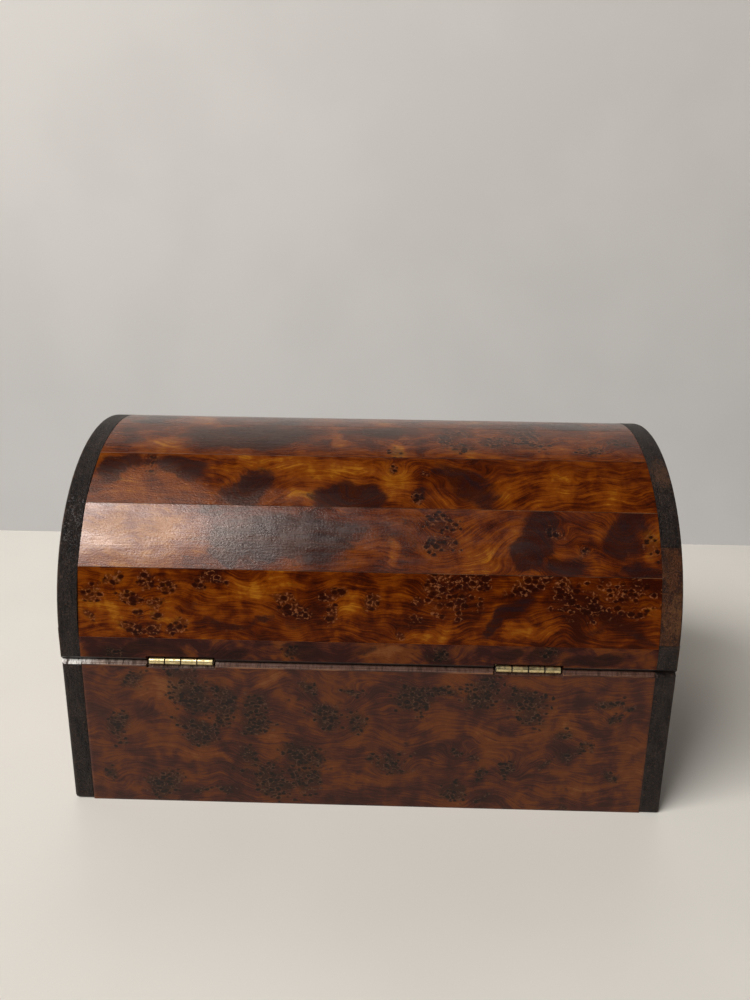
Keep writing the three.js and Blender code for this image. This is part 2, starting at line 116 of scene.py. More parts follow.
class Graph:
    """A shader node tree with short calls for the nodes that the finishes use."""

    def __init__(self, tree: bpy.types.NodeTree) -> None:
        """Keeps the tree that nodes are added to."""
        self.tree = tree

    def add(self, kind: str, **settings: object) -> bpy.types.Node:
        """Adds a node and sets its properties.

        Args:
            kind: the node type's identifier.
            **settings: properties of the node.

        Returns:
            The new node.
        """
        node = self.tree.nodes.new(kind)
        for name, value in settings.items():
            setattr(node, name, value)
        return node

    def feed(self, socket: bpy.types.NodeSocket, value: object) -> None:
        """Links a socket, or sets its own value.

        Args:
            socket: the input.
            value: another node's output, a number, a colour or a vector.
        """
        if isinstance(value, bpy.types.NodeSocket):
            self.tree.links.new(value, socket)
        elif socket.type == "RGBA":
            socket.default_value = (*value, 1.0)
        else:
            socket.default_value = value

    def fill(self, sockets: bpy.types.bpy_prop_collection, values: dict[str, object]) -> None:
        """Links or sets several sockets by their names."""
        for label, value in values.items():
            self.feed(sockets[label], value)

    def math(self, operation: str, *values: object, kind: str = "ShaderNodeMath") -> bpy.types.NodeSocket:
        """Adds a Math node.

        Args:
            operation: the node's operation.
            *values: its inputs, in order.
            kind: the node type, which is Math or Vector Math.

        Returns:
            Its result.
        """
        node = self.add(kind, operation=operation)
        for socket, value in zip(node.inputs, values):
            self.feed(socket, value)
        return node.outputs[0]

    def total(self, *terms: tuple[object, float]) -> bpy.types.NodeSocket:
        """Adds up terms, each a value times a weight.

        Args:
            *terms: pairs of a value and its weight.

        Returns:
            The sum.
        """
        result: object = 0.0
        for value, weight in terms:
            result = self.math("MULTIPLY_ADD", value, weight, result)
        return result

    def centred(self, *terms: tuple[object, float]) -> bpy.types.NodeSocket:
        """Adds up weighted noises, less what they come to where each is at its middle of 0.5."""
        return self.math("SUBTRACT", self.total(*terms), sum(weight for _, weight in terms) / 2)

    def times(self, first: object, second: object) -> bpy.types.NodeSocket:
        """Adds a Math node that multiplies two values, and gives its result."""
        return self.math("MULTIPLY", first, second)

    def step(self, value: object, low: object, high: object) -> bpy.types.NodeSocket:
        """Adds a soft step from 0 to 1.

        Args:
            value: what is compared.
            low: the value where the step starts.
            high: the value where it ends.

        Returns:
            0 below low, 1 above high and a smooth change between.
        """
        node = self.add("ShaderNodeMapRange", interpolation_type="SMOOTHSTEP")
        for label, given in (("Value", value), ("From Min", low), ("From Max", high)):
            self.feed(node.inputs[label], given)
        return node.outputs["Result"]

    def mix(self, share: object, first: object, second: object, blend: str = "MIX") -> bpy.types.NodeSocket:
        """Mixes two colours.

        Args:
            share: how much of the second colour there is.
            first: the first colour.
            second: the second colour.
            blend: the blend mode.

        Returns:
            The mixed colour.
        """
        node = self.add("ShaderNodeMix", data_type="RGBA", blend_type=blend)
        colours = [socket for socket in node.inputs if socket.type == "RGBA"]
        self.feed(node.inputs["Factor"], share)
        self.feed(colours[0], first)
        self.feed(colours[1], second)
        return next(socket for socket in node.outputs if socket.type == "RGBA")

    def scaled(self, place: object, scale: Sequence[float]) -> bpy.types.NodeSocket:
        """Multiplies a place by a scale for each axis.

        Args:
            place: a vector.
            scale: three factors.

        Returns:
            The scaled vector.
        """
        return self.math("MULTIPLY", place, tuple(scale), kind="ShaderNodeVectorMath")

    def noise(
        self, place: object, scale: float | Sequence[float], detail: float = 2.0, rough: float = 0.5
    ) -> bpy.types.NodeSocket:
        """Adds a noise from 0 to 1 with its middle near 0.5.

        Args:
            place: where the noise is read.
            scale: lumps for each unit of place, as one number or one for each axis.
            detail: octaves.
            rough: the strength of the finer octaves.

        Returns:
            The noise value.
        """
        if not isinstance(scale, float):
            place, scale = self.scaled(place, scale), 1.0
        node = self.add("ShaderNodeTexNoise")
        self.fill(node.inputs, {"Vector": place, "Scale": scale, "Detail": detail, "Roughness": rough})
        return node.outputs[0]

    def shaken(self, place: object, scale: float, reach: float) -> bpy.types.NodeSocket:
        """Moves a place a little way at random, so that cells and lines lose their regular shape.

        Args:
            place: the place.
            scale: lumps for each unit of place.
            reach: the longest move, in units of place.

        Returns:
            The moved place.
        """
        noise, vector = self.add("ShaderNodeTexNoise"), "ShaderNodeVectorMath"
        self.fill(noise.inputs, {"Vector": place, "Scale": scale})
        swing = self.math("SUBTRACT", noise.outputs["Color"], (0.5, 0.5, 0.5), kind=vector)
        return self.math("MULTIPLY_ADD", swing, (2 * reach, 2 * reach, 2 * reach), place, kind=vector)

    def cells(self, place: object, scale: object, feature: str) -> bpy.types.Node:
        """Adds a Voronoi node.

        Args:
            place: where it is read.
            scale: cells for each unit of place.
            feature: the node's feature.

        Returns:
            The node, because callers use several of its outputs.
        """
        node = self.add("ShaderNodeTexVoronoi", feature=feature)
        self.fill(node.inputs, {"Vector": place, "Scale": scale})
        return node

    def attribute(self, name: str, output: str = "Fac") -> bpy.types.NodeSocket:
        """Reads an attribute that a piece's mesh carries, as a number or through the output named."""
        return self.add("ShaderNodeAttribute", attribute_name=name).outputs[output]

    def axes(self, place: object) -> bpy.types.bpy_prop_collection:
        """Splits a place into its three numbers.

        Args:
            place: the place.

        Returns:
            The outputs X, Y and Z.
        """
        node = self.add("ShaderNodeSeparateXYZ")
        self.feed(node.inputs[0], place)
        return node.outputs

    def object_place(self) -> bpy.types.NodeSocket:
        """Reads the place in the object's own frame, in millimetres."""
        coordinates = self.add("ShaderNodeTexCoord")
        return self.scaled(coordinates.outputs["Object"], (1 / MM, 1 / MM, 1 / MM))

    def group(self, tree: bpy.types.NodeTree, **inputs: object) -> bpy.types.Node:
        """Places a node group.

        Args:
            tree: the group.
            **inputs: values for its inputs, by name.

        Returns:
            The group node.
        """
        node = self.add("ShaderNodeGroup", node_tree=tree)
        self.fill(node.inputs, inputs)
        return node


def new_group(name: str, inputs: dict[str, str], outputs: dict[str, str]) -> tuple[Graph, object, object]:
    """Starts a shader node group.

    Args:
        name: the group's name.
        inputs: socket kinds by input name.
        outputs: socket kinds by output name.

    Returns:
        The group's graph, its input values and its output sockets.
    """
    tree = bpy.data.node_groups.new(name, "ShaderNodeTree")
    for direction, sockets in (("INPUT", inputs), ("OUTPUT", outputs)):
        for label, kind in sockets.items():
            tree.interface.new_socket(name=label, in_out=direction, socket_type="NodeSocket" + kind)
    graph = Graph(tree)
    return graph, graph.add("NodeGroupInput").outputs, graph.add("NodeGroupOutput").inputs


# The burl group's inputs: what each board carries, and the measures and colours of its finish
CARRIED = ("Layer", "Cloud", "Glow", "Eyes", "Tone")
MEASURES = ("Pitch", "Swirl", "Mottle", "Halo")
SHADES = ("Shadow", "Deep", "Warm", "Amber", "Pale", "Shade", "Eye", "Rim")

# The usual low and high of the skin's smear, and the tone of plain wood
SMEARS = (0.3, 0.7)
PLAIN_TONE = 0.4


def grain_group() -> bpy.types.NodeTree:
    """Makes the group that draws grain along the layers of the wood.

    Returns:
        A group with broad bands, fibres and hair lines, each about 0.5 in the middle.
    """
    graph, given, out = new_group(
        "wood_grain",
        {"Place": "Vector", "Layer": "Float", "Swirl": "Float"},
        {"Bands": "Float", "Fibre": "Float", "Hair": "Float"},
    )
    axes = graph.axes(given["Place"])
    wander = graph.times(graph.noise(given["Place"], scale=0.05, detail=1.0), given["Swirl"])
    ripple = graph.noise(given["Place"], scale=0.2, detail=1.0)
    layer = graph.total((given["Layer"], 1.0), (wander, 1.0), (ripple, 1.4))
    for label, along, across in (("Bands", 0.02, 0.24), ("Fibre", 0.05, 0.75), ("Hair", 0.12, 2.4)):
        joined = graph.add("ShaderNodeCombineXYZ")
        for axis, value, lumps in (("X", axes["X"], along), ("Y", layer, across), ("Z", axes["Z"], across)):
            graph.feed(joined.inputs[axis], graph.times(value, lumps))
        graph.feed(out[label], graph.noise(joined.outputs[0], scale=1.0))
    return graph.tree


def eyes_group() -> bpy.types.NodeTree:
    """Makes the group that draws clusters of burl eyes.

    Returns:
        A group with the dark cores of the eyes, the thin light rings round some of them, the shade close to
        each eye and how the grain wraps round them.
    """
    graph, given, out = new_group(
        "burl_eyes",
        {"Place": "Vector", "Density": "Float", "Pitch": "Float"},
        {"Core": "Float", "Ring": "Float", "Near": "Float", "Wrap": "Float"},
    )
    place = graph.shaken(graph.shaken(given["Place"], scale=0.35, reach=0.9), scale=1.3, reach=0.22)
    place = graph.scaled(place, (0.8, 1.1, 1.0))
    nearest = graph.cells(place, graph.math("DIVIDE", 1.0, given["Pitch"]), "F1")
    cell = graph.add("ShaderNodeSeparateColor")
    graph.feed(cell.inputs[0], nearest.outputs["Color"])
    apart = nearest.outputs["Distance"]
    filled = graph.step(graph.total((given["Density"], 1.0), (cell.outputs["Red"], 0.55)), 0.5, 0.7)
    size = graph.total((given["Density"], 0.12), (cell.outputs["Green"], 0.22), (1.0, 0.30))
    graph.feed(out["Core"], graph.times(filled, graph.step(apart, size, graph.times(size, 0.6))))
    beyond = graph.math("SUBTRACT", apart, size)
    outer, inner = graph.step(beyond, 0.22, 0.10), graph.step(beyond, -0.03, 0.08)
    broken = graph.step(graph.noise(given["Place"], scale=0.9, detail=1.0), 0.42, 0.6)
    graph.feed(out["Ring"], graph.times(graph.times(outer, inner), graph.times(filled, broken)))
    graph.feed(out["Near"], graph.times(filled, graph.step(apart, 0.75, 0.2)))
    graph.feed(out["Wrap"], graph.times(apart, graph.step(given["Density"], 0.0, 0.6)))
    return graph.tree


def burl_group(grain: bpy.types.NodeTree, eyes: bpy.types.NodeTree) -> bpy.types.NodeTree:
    """Makes the group that colours burl wood from the attributes that each piece carries.

    Clouds, glows and halos start where a board's spots are, and the noises give them their outlines.

    Args:
        grain: the wood_grain group.
        eyes: the burl_eyes group.

    Returns:
        A group with the colour and a height for the bump.
    """
    numbers = {name: "Float" for name in (*CARRIED, *MEASURES)}
    colours = {name: "Color" for name in SHADES}
    graph, given, out = new_group(
        "burl_figure", {"Place": "Vector", **numbers, **colours}, {"Color": "Color", "Height": "Float"}
    )
    place = given["Place"]
    cluster = graph.group(eyes, Place=place, Density=given["Eyes"], Pitch=given["Pitch"])
    layer = graph.total((given["Layer"], 1.0), (cluster.outputs["Wrap"], 1.4))
    lines = graph.group(grain, Place=place, Layer=layer, Swirl=given["Swirl"])
    bands, fibre, hair = (lines.outputs[name] for name in ("Bands", "Fibre", "Hair"))
    lump = graph.noise(graph.shaken(place, scale=0.12, reach=3.0), scale=0.22, detail=3.0, rough=0.58)
    patch = graph.noise(graph.shaken(place, scale=0.06, reach=6.0), scale=0.08)
    fleck = graph.noise(place, scale=1.5)
    cloud = graph.total((given["Cloud"], 1.0), (lump, 1.0), (fibre, 0.7), (bands, 0.4), (fleck, 0.2))
    cloud = graph.step(cloud, 1.5, 1.95)
    glow = graph.step(graph.total((given["Glow"], 1.0), (lump, 0.8), (fibre, 0.6)), 0.75, 1.75)
    patches = graph.times(graph.centred((patch, 1.0), (lump, 0.45)), given["Mottle"])
    grained = graph.centred((bands, 0.42), (fibre, 0.5), (hair, 0.85))
    tone = graph.total((grained, 1.0), (glow, 0.48), (patches, 1.0), (given["Tone"], 1.0))
    tone = graph.math("ADD", tone, PLAIN_TONE)
    colour = graph.mix(graph.step(tone, 0.0, 0.36), given["Deep"], given["Warm"])
    colour = graph.mix(graph.step(tone, 0.26, 0.68), colour, given["Amber"])
    colour = graph.mix(graph.step(tone, 0.66, 1.1), colour, given["Pale"])
    streak = graph.step(graph.total((fibre, 0.9), (fleck, 0.4), (hair, 0.4)), 0.7, 1.05)
    pigment = graph.mix(streak, given["Shadow"], given["Deep"])
    colour = graph.mix(graph.times(cloud, 0.9), colour, pigment)
    near, ring, core = (cluster.outputs[name] for name in ("Near", "Ring", "Core"))
    halo = graph.step(graph.total((given["Eyes"], 1.0), (lump, 0.9), (fleck, 0.3)), 0.65, 1.4)
    halo = graph.times(graph.math("MAXIMUM", halo, near), given["Halo"])
    colour = graph.mix(halo, colour, graph.mix(graph.step(fleck, 0.42, 0.62), given["Shade"], pigment))
    colour = graph.mix(graph.times(ring, 0.7), colour, given["Rim"])
    colour = graph.mix(graph.times(core, 0.88), colour, given["Eye"])
    graph.feed(out["Color"], colour)
    graph.feed(out["Height"], graph.total((fibre, 0.4), (hair, 0.5), (core, -0.7), (ring, 0.25)))
    return graph.tree


def skin_group() -> bpy.types.NodeTree:
    """Makes the group for a hand-rubbed surface: waves, rubbing marks, dust, and crazing where it is dulled.

    Returns:
        A group with a height and a smear value from 0 to 1 for the roughness.
    """
    sockets = {"Place": "Vector", "Dulled": "Float"}
    graph, given, out = new_group("rubbed_skin", sockets, {"Height": "Float", "Smear": "Float"})
    place = given["Place"]
    waves = graph.noise(place, scale=0.09)
    rubbing = graph.noise(place, scale=(0.07, 1.2, 1.2), detail=3.0, rough=0.7)
    smear = graph.noise(place, scale=(0.05, 0.16, 0.16), detail=4.0, rough=0.6)
    peel = graph.noise(place, scale=1.1, rough=0.6)
    speck = graph.step(graph.cells(place, 0.32, "F1").outputs["Distance"], 0.075, 0.03)
    crazed = graph.times(graph.noise(place, scale=(0.8, 1.7, 1.7), detail=3.0, rough=0.75), given["Dulled"])
    relief = graph.total((waves, 3.0), (rubbing, 1.1), (peel, 1.0), (speck, 0.3), (crazed, 4.5))
    graph.feed(out["Height"], relief)
    graph.feed(out["Smear"], graph.total((smear, 0.7), (rubbing, 0.3), (given["Dulled"], 0.45)))
    return graph.tree


def wear_group() -> bpy.types.NodeTree:
    """Makes the group that wears a finish away near edges and in stray patches.

    Returns:
        A group with a wear mask and a mask of small worn spots.
    """
    sockets = {"Place": "Vector", "Edge": "Float"}
    graph, given, out = new_group("edge_wear", sockets, {"Mask": "Float", "Spots": "Float"})
    patches = graph.noise(given["Place"], scale=0.35, detail=5.0, rough=0.65)
    grains = graph.noise(given["Place"], scale=1.4, detail=3.0, rough=0.6)
    rubbed = graph.total((given["Edge"], 0.75), (patches, 0.9), (grains, 0.35))
    graph.feed(out["Mask"], graph.step(rubbed, 0.93, 1.25))
    graph.feed(out["Spots"], graph.step(grains, 0.55, 0.68))
    return graph.tree


@dataclass(frozen=True)
class Groups:
    """The shader node groups that the finishes share."""

    grain: bpy.types.NodeTree
    burl: bpy.types.NodeTree
    skin: bpy.types.NodeTree
    wear: bpy.types.NodeTree

    @classmethod
    def make(cls) -> "Groups":
        """Builds each group once."""
        grain = grain_group()
        return cls(grain, burl_group(grain, eyes_group()), skin_group(), wear_group())


# Finishes


def new_surface(name: str) -> tuple[bpy.types.Material, Graph, bpy.types.Node]:
    """Starts a material.

    Args:
        name: the material's name.

    Returns:
        The material, its graph and its Principled node.
    """
    material = bpy.data.materials.new(name)
    material.use_nodes = True
    return material, Graph(material.node_tree), material.node_tree.nodes["Principled BSDF"]


def add_relief(graph: Graph, surface: bpy.types.Node, height: object, depth: float) -> None:
    """Gives a surface a bump.

    Args:
        graph: the material's graph.
        surface: its Principled node.
        height: the height, where 1 stands for the depth.
        depth: the depth in metres.
    """
    bump = graph.add("ShaderNodeBump")
    graph.feed(bump.inputs["Distance"], depth)
    graph.feed(bump.inputs["Height"], height)
    graph.feed(surface.inputs["Normal"], bump.outputs["Normal"])


@dataclass(frozen=True)
class BurlFinish:
    """Lacquered burl: the colours of its figure and how well it is polished.

    Smooth and rough are its roughness where the skin's smear is at the low and the high end of SMEARS.
    """

    name: str
    shadow: Colour
    deep: Colour
    warm: Colour
    amber: Colour
    pale: Colour
    shade: Colour
    eye: Colour
    rim: Colour
    pitch: float
    swirl: float
    mottle: float
    halo: float
    smooth: float
    rough: float
    specular: float
    gleam: Colour
    coat: float
    coat_roughness: float

    def make(self, groups: Groups) -> bpy.types.Material:
        """Builds the material.

        Args:
            groups: the shared node groups.

        Returns:
            The material.
        """
        material, graph, surface = new_surface(self.name)
        place = graph.attribute("place", "Vector")
        carried = {name: graph.attribute(name.lower()) for name in CARRIED}
        chosen = {name: getattr(self, name.lower()) for name in (*MEASURES, *SHADES)}
        wood = graph.group(groups.burl, Place=place, **carried, **chosen)
        skin = graph.group(groups.skin, Place=place, Dulled=graph.attribute("dulled"))
        graph.feed(surface.inputs["Base Color"], wood.outputs["Color"])
        gloss = graph.add("ShaderNodeMapRange", clamp=False)
        graph.feed(gloss.inputs["Value"], skin.outputs["Smear"])
        graph.fill(gloss.inputs, {"From Min": SMEARS[0], "From Max": SMEARS[1]})
        graph.fill(gloss.inputs, {"To Min": self.smooth, "To Max": self.rough})
        graph.feed(surface.inputs["Roughness"], gloss.outputs["Result"])
        graph.fill(surface.inputs, {"Specular IOR Level": self.specular, "Specular Tint": self.gleam})
        graph.fill(surface.inputs, {"Coat Weight": self.coat, "Coat Roughness": self.coat_roughness})
        height = graph.total((wood.outputs["Height"], 0.35), (skin.outputs["Height"], 1.0))
        add_relief(graph, surface, height, 0.05 * MM)
        return material


@dataclass(frozen=True)
class StainedFinish:
    """Edging wood with a stain that is worn through in places."""

    name: str
    stain: Colour
    bloom: Colour
    worn: Colour
    wear: float
    roughness: float
    specular: float

    def make(self, groups: Groups) -> bpy.types.Material:
        """Builds the material.

        Args:
            groups: the shared node groups.

        Returns:
            The material.
        """
        material, graph, surface = new_surface(self.name)
        place = graph.attribute("place", "Vector")
        grain = graph.group(groups.grain, Place=place, Layer=graph.attribute("layer"), Swirl=4.0).outputs
        smear = graph.group(groups.skin, Place=place).outputs["Smear"]
        edge = graph.times(graph.attribute("edge"), self.wear)
        wear = graph.group(groups.wear, Place=place, Edge=edge).outputs
        haze = graph.step(graph.noise(place, scale=0.2, detail=4.0, rough=0.65), 0.38, 0.66)
        crumbs = graph.step(graph.noise(place, scale=1.3, detail=3.0, rough=0.75), 0.4, 0.66)
        colour = graph.mix(graph.times(haze, 0.75), self.stain, self.bloom)
        streak = graph.step(grain["Fibre"], 0.38, 0.64)
        colour = graph.mix(graph.times(streak, 0.5), colour, self.bloom)
        colour = graph.mix(graph.times(crumbs, 0.7), colour, self.stain)
        colour = graph.mix(graph.times(wear["Spots"], self.wear * 0.7), colour, self.worn)
        colour = graph.mix(wear["Mask"], colour, self.worn)
        graph.feed(surface.inputs["Base Color"], colour)
        rough = graph.total((graph.centred((smear, 0.3)), 1.0), (wear["Mask"], 0.2))
        graph.feed(surface.inputs["Roughness"], graph.math("ADD", rough, self.roughness))
        surface.inputs["Specular IOR Level"].default_value = self.specular
        height = graph.total((grain["Fibre"], 0.5), (grain["Hair"], 0.8), (wear["Mask"], -0.4), (crumbs, 1.0))
        add_relief(graph, surface, height, 0.22 * MM)
        return material


@dataclass(frozen=True)
class SawnFinish:
    """Raw carcass wood with saw marks across it.

    In mm of the box: rim is where the back seam's chamfer starts, and the span along x given last is where
    the chamfer's left end carries a near-white painted highlight.
    """

    name: str
    dark: Colour
    light: Colour
    tint: Colour
    handled: Colour
    painted_glint: Colour
    rim: float
    glint_span: tuple[float, float]

    def make(self, groups: Groups) -> bpy.types.Material:
        """Builds the material.

        Args:
            groups: the shared node groups.

        Returns:
            The material.
        """
        material, graph, surface = new_surface(self.name)
        place = graph.object_place()
        axes = graph.axes(place)
        hair = graph.group(groups.grain, Place=place, Layer=axes["Z"], Swirl=4.0).outputs["Hair"]
        marks = graph.noise(place, scale=(1.1, 0.3, 0.12), detail=3.0, rough=0.75)
        patches = graph.noise(place, scale=(0.045, 0.1, 0.1), detail=3.0, rough=0.6)
        tone = graph.total((marks, 2.0), (patches, 1.2), (hair, 0.3))
        colour = graph.mix(graph.step(tone, 1.3, 2.2), self.dark, self.light)
        side = graph.total((axes["X"], 0.006), (graph.noise(place, scale=0.05), 2.2))
        colour = graph.mix(graph.times(graph.step(side, 0.2, 0.95), 0.8), colour, self.tint)
        colour = graph.mix(graph.step(marks, 0.46, 0.34), colour, self.dark)
        inside = graph.step(axes["Y"], self.rim, self.rim + 1.0)
        colour = graph.mix(graph.times(inside, 0.75), colour, self.handled)
        # A near-white painted highlight on the left end of the seam chamfer, broken up by the saw marks
        seam = graph.step(axes["Y"], self.rim + 1.0, self.rim + 0.3)
        end = graph.times(graph.step(axes["X"], *self.glint_span), graph.step(marks, 0.32, 0.55))
        colour = graph.mix(graph.times(end, seam), colour, self.painted_glint)
        graph.feed(surface.inputs["Base Color"], colour)
        graph.feed(surface.inputs["Roughness"], graph.math("MULTIPLY_ADD", marks, 0.3, 0.45))
        surface.inputs["Specular IOR Level"].default_value = 0.2
        add_relief(graph, surface, graph.total((marks, 1.0), (hair, 0.4)), 0.2 * MM)
        return material


@dataclass(frozen=True)
class MetalFinish:
    """Bare metal with tarnish in random patches and fine scratches."""

    name: str
    bright: Colour
    tarnish: Colour
    roughness: float

    def make(self, groups: Groups) -> bpy.types.Material:
        """Builds the material.

        Args:
            groups: the shared node groups, of which metal uses none.

        Returns:
            The material.
        """
        material, graph, surface = new_surface(self.name)
        place = graph.object_place()
        stains = graph.noise(place, scale=0.5, detail=5.0, rough=0.65)
        scratches = graph.noise(place, scale=(0.6, 7.0, 7.0), detail=3.0, rough=0.7)
        dull = graph.step(graph.total((stains, 1.0), (scratches, 0.25)), 0.5, 0.82)
        graph.feed(surface.inputs["Base Color"], graph.mix(dull, self.bright, self.tarnish))
        graph.feed(surface.inputs["Metallic"], graph.math("MULTIPLY_ADD", dull, -0.25, 1.0))
        rough = graph.total((dull, 0.25), (graph.centred((scratches, 0.2)), 1.0))
        graph.feed(surface.inputs["Roughness"], graph.math("ADD", rough, self.roughness))
        add_relief(graph, surface, graph.total((scratches, 0.6), (stains, 0.6)), 0.03 * MM)
        return material


@dataclass(frozen=True)
class FeltFinish:
    """Pressed felt with a short nap."""

    name: str
    dark: Colour
    light: Colour
    nap: Colour

    def make(self, groups: Groups) -> bpy.types.Material:
        """Builds the material.

        Args:
            groups: the shared node groups, of which felt uses none.

        Returns:
            The material.
        """
        material, graph, surface = new_surface(self.name)
        place = graph.object_place()
        tufts = graph.noise(graph.shaken(place, scale=0.8, reach=0.8), scale=2.4, detail=4.0, rough=0.7)
        lie = graph.noise(place, scale=0.08, detail=3.0)
        strand = graph.cells(graph.shaken(place, scale=1.4, reach=0.9), 1.5, "DISTANCE_TO_EDGE")
        fibre = graph.step(strand.outputs["Distance"], 0.12, 0.01)
        tone = graph.step(graph.total((tufts, 0.8), (lie, 0.6), (fibre, 0.2)), 0.45, 1.05)
        graph.feed(surface.inputs["Base Color"], graph.mix(tone, self.dark, self.light))
        graph.fill(surface.inputs, {"Roughness": 0.95, "Specular IOR Level": 0.2})
        graph.fill(surface.inputs, {"Sheen Weight": 0.35, "Sheen Roughness": 0.5, "Sheen Tint": self.nap})
        add_relief(graph, surface, graph.total((tufts, 1.0), (fibre, 0.5)), 0.25 * MM)
        return material


@dataclass(frozen=True)
class GlueLineFinish:
    """The dark line of glue and polish in a joint, and also the near-black painted shade in the back seam and
    between the hinge knuckles.
    """

    name: str
    dark: Colour
    light: Colour

    def make(self, groups: Groups) -> bpy.types.Material:
        """Builds the material.

        Args:
            groups: the shared node groups, of which this finish uses none.

        Returns:
            The material.
        """
        material, graph, surface = new_surface(self.name)
        place = graph.object_place()
        patches = graph.noise(place, scale=(0.05, 0.4, 0.4), detail=4.0, rough=0.6)
        colour = graph.mix(graph.step(patches, 0.42, 0.68), self.dark, self.light)
        graph.feed(surface.inputs["Base Color"], colour)
        graph.feed(surface.inputs["Roughness"], graph.math("MULTIPLY_ADD", patches, 0.3, 0.3))
        add_relief(graph, surface, patches, 0.05 * MM)
        return material


LID_BURL = BurlFinish(
    name="lid_burl",
    shadow=(0.015, 0.0056, 0.0060),
    deep=(0.028, 0.0040, 0.0012),
    warm=(0.078, 0.0115, 0.0009),
    amber=(0.170, 0.0355, 0.0015),
    pale=(0.310, 0.1050, 0.0065),
    shade=(0.013, 0.0028, 0.0018),
    eye=(0.0085, 0.0018, 0.0012),
    rim=(0.19, 0.065, 0.025),
    pitch=2.0,
    swirl=11.0,
    mottle=1.15,
    halo=0.6,
    smooth=0.17,
    rough=0.34,
    specular=0.56,
    gleam=(1.0, 0.70, 0.56),
    coat=0.12,
    coat_roughness=0.18,
)
BASE_BURL = BurlFinish(
    name="base_burl",
    shadow=(0.014, 0.0060, 0.0052),
    deep=(0.029, 0.0085, 0.0072),
    warm=(0.057, 0.0152, 0.0092),
    amber=(0.118, 0.0305, 0.0072),
    pale=(0.165, 0.0540, 0.0150),
    shade=(0.0125, 0.0092, 0.0070),
    eye=(0.0082, 0.0058, 0.0046),
    rim=(0.095, 0.046, 0.026),
    pitch=1.7,
    swirl=16.0,
    mottle=1.5,
    halo=0.85,
    smooth=0.3,
    rough=0.5,
    specular=0.22,
    gleam=(1.0, 0.82, 0.70),
    coat=0.1,
    coat_roughness=0.25,
)
VENEERS = {
    Veneer.LID: LID_BURL,
    Veneer.GLOSSY: replace(
        LID_BURL,
        name="glossy_burl",
        specular=0.92,
        gleam=(1.0, 0.86, 0.79),
        rough=0.35,
    ),
    Veneer.LOWER: replace(
        LID_BURL,
        name="lower_burl",
        eye=(0.016, 0.0026, 0.0010),
        rim=(0.25, 0.085, 0.030),
        pitch=2.3,
        mottle=1.5,
        specular=0.1,
        coat=0.01,
    ),
    Veneer.RAIL: replace(BASE_BURL, name="rail_burl", pitch=1.6, mottle=2.4, specular=0.08, coat=0.02),
    Veneer.BASE: BASE_BURL,
}
EBONISED = StainedFinish(
    name="ebonised_wood",
    stain=(0.0040, 0.0026, 0.0022),
    bloom=(0.033, 0.021, 0.016),
    worn=(0.068, 0.031, 0.016),
    wear=0.9,
    roughness=0.42,
    specular=0.2,
)
BARE = StainedFinish(
    name="bare_brown_wood",
    stain=(0.018, 0.0055, 0.003),
    bloom=(0.100, 0.031, 0.008),
    worn=(0.115, 0.046, 0.016),
    wear=0.8,
    roughness=0.5,
    specular=0.2,
)
SAWN = SawnFinish(
    name="raw_sawn_wood",
    dark=(0.045, 0.024, 0.017),
    light=(0.36, 0.27, 0.22),
    tint=(0.085, 0.030, 0.017),
    handled=(0.070, 0.036, 0.022),
    # The near-white colour and span of the painted highlight on the seam chamfer's left end
    painted_glint=(0.82, 0.78, 0.73),
    rim=-71.5,
    glint_span=(-104.0, -115.0),
)
# Near-black painted shade for the down-facing seam chamfers and the gaps between the hinge knuckles
SEAM_SHADE = GlueLineFinish("painted_seam_shade", dark=(0.0025, 0.0012, 0.0010), light=(0.012, 0.0045, 0.0025))
GLUE = GlueLineFinish("glue_line", dark=(0.030, 0.009, 0.004), light=(0.19, 0.075, 0.028))
FELT = FeltFinish("burgundy_felt", (0.055, 0.004, 0.009), light=(0.15, 0.014, 0.026), nap=(0.8, 0.35, 0.38))
BRASS = MetalFinish("aged_brass", bright=(0.80, 0.66, 0.36), tarnish=(0.42, 0.31, 0.13), roughness=0.3)
SCREW_BRASS = MetalFinish("screw_brass", (0.74, 0.58, 0.30), tarnish=(0.30, 0.21, 0.09), roughness=0.34)
STEEL = MetalFinish("dull_steel", bright=(0.56, 0.55, 0.53), tarnish=(0.26, 0.23, 0.20), roughness=0.36)


@dataclass(frozen=True)
class Stock:
    """Every material of the box: by the slot that it fills, the lots of veneer, the glue for the joints and
    the near-black painted shade for the seam and the hinge gaps.
    """

    by_slot: dict[Slot, bpy.types.Material]
    veneers: dict[Veneer, bpy.types.Material]
    glue: bpy.types.Material
    painted_shade: bpy.types.Material

    @classmethod
    def make(cls) -> "Stock":
        """Builds all materials.

        Returns:
            The stock of the box.
        """
        groups = Groups.make()
        finishes = {
            Slot.EBONISED: EBONISED,
            Slot.BARE: BARE,
            Slot.CARCASS: SAWN,
            Slot.FELT: FELT,
            Slot.BRASS: BRASS,
            Slot.SCREWS: SCREW_BRASS,
            Slot.STEEL: STEEL,
        }
        by_slot = {slot: finish.make(groups) for slot, finish in finishes.items()}
        veneers = {lot: finish.make(groups) for lot, finish in VENEERS.items()}
        return cls(by_slot, veneers, GLUE.make(groups), SEAM_SHADE.make(groups))


# The figure of the wood


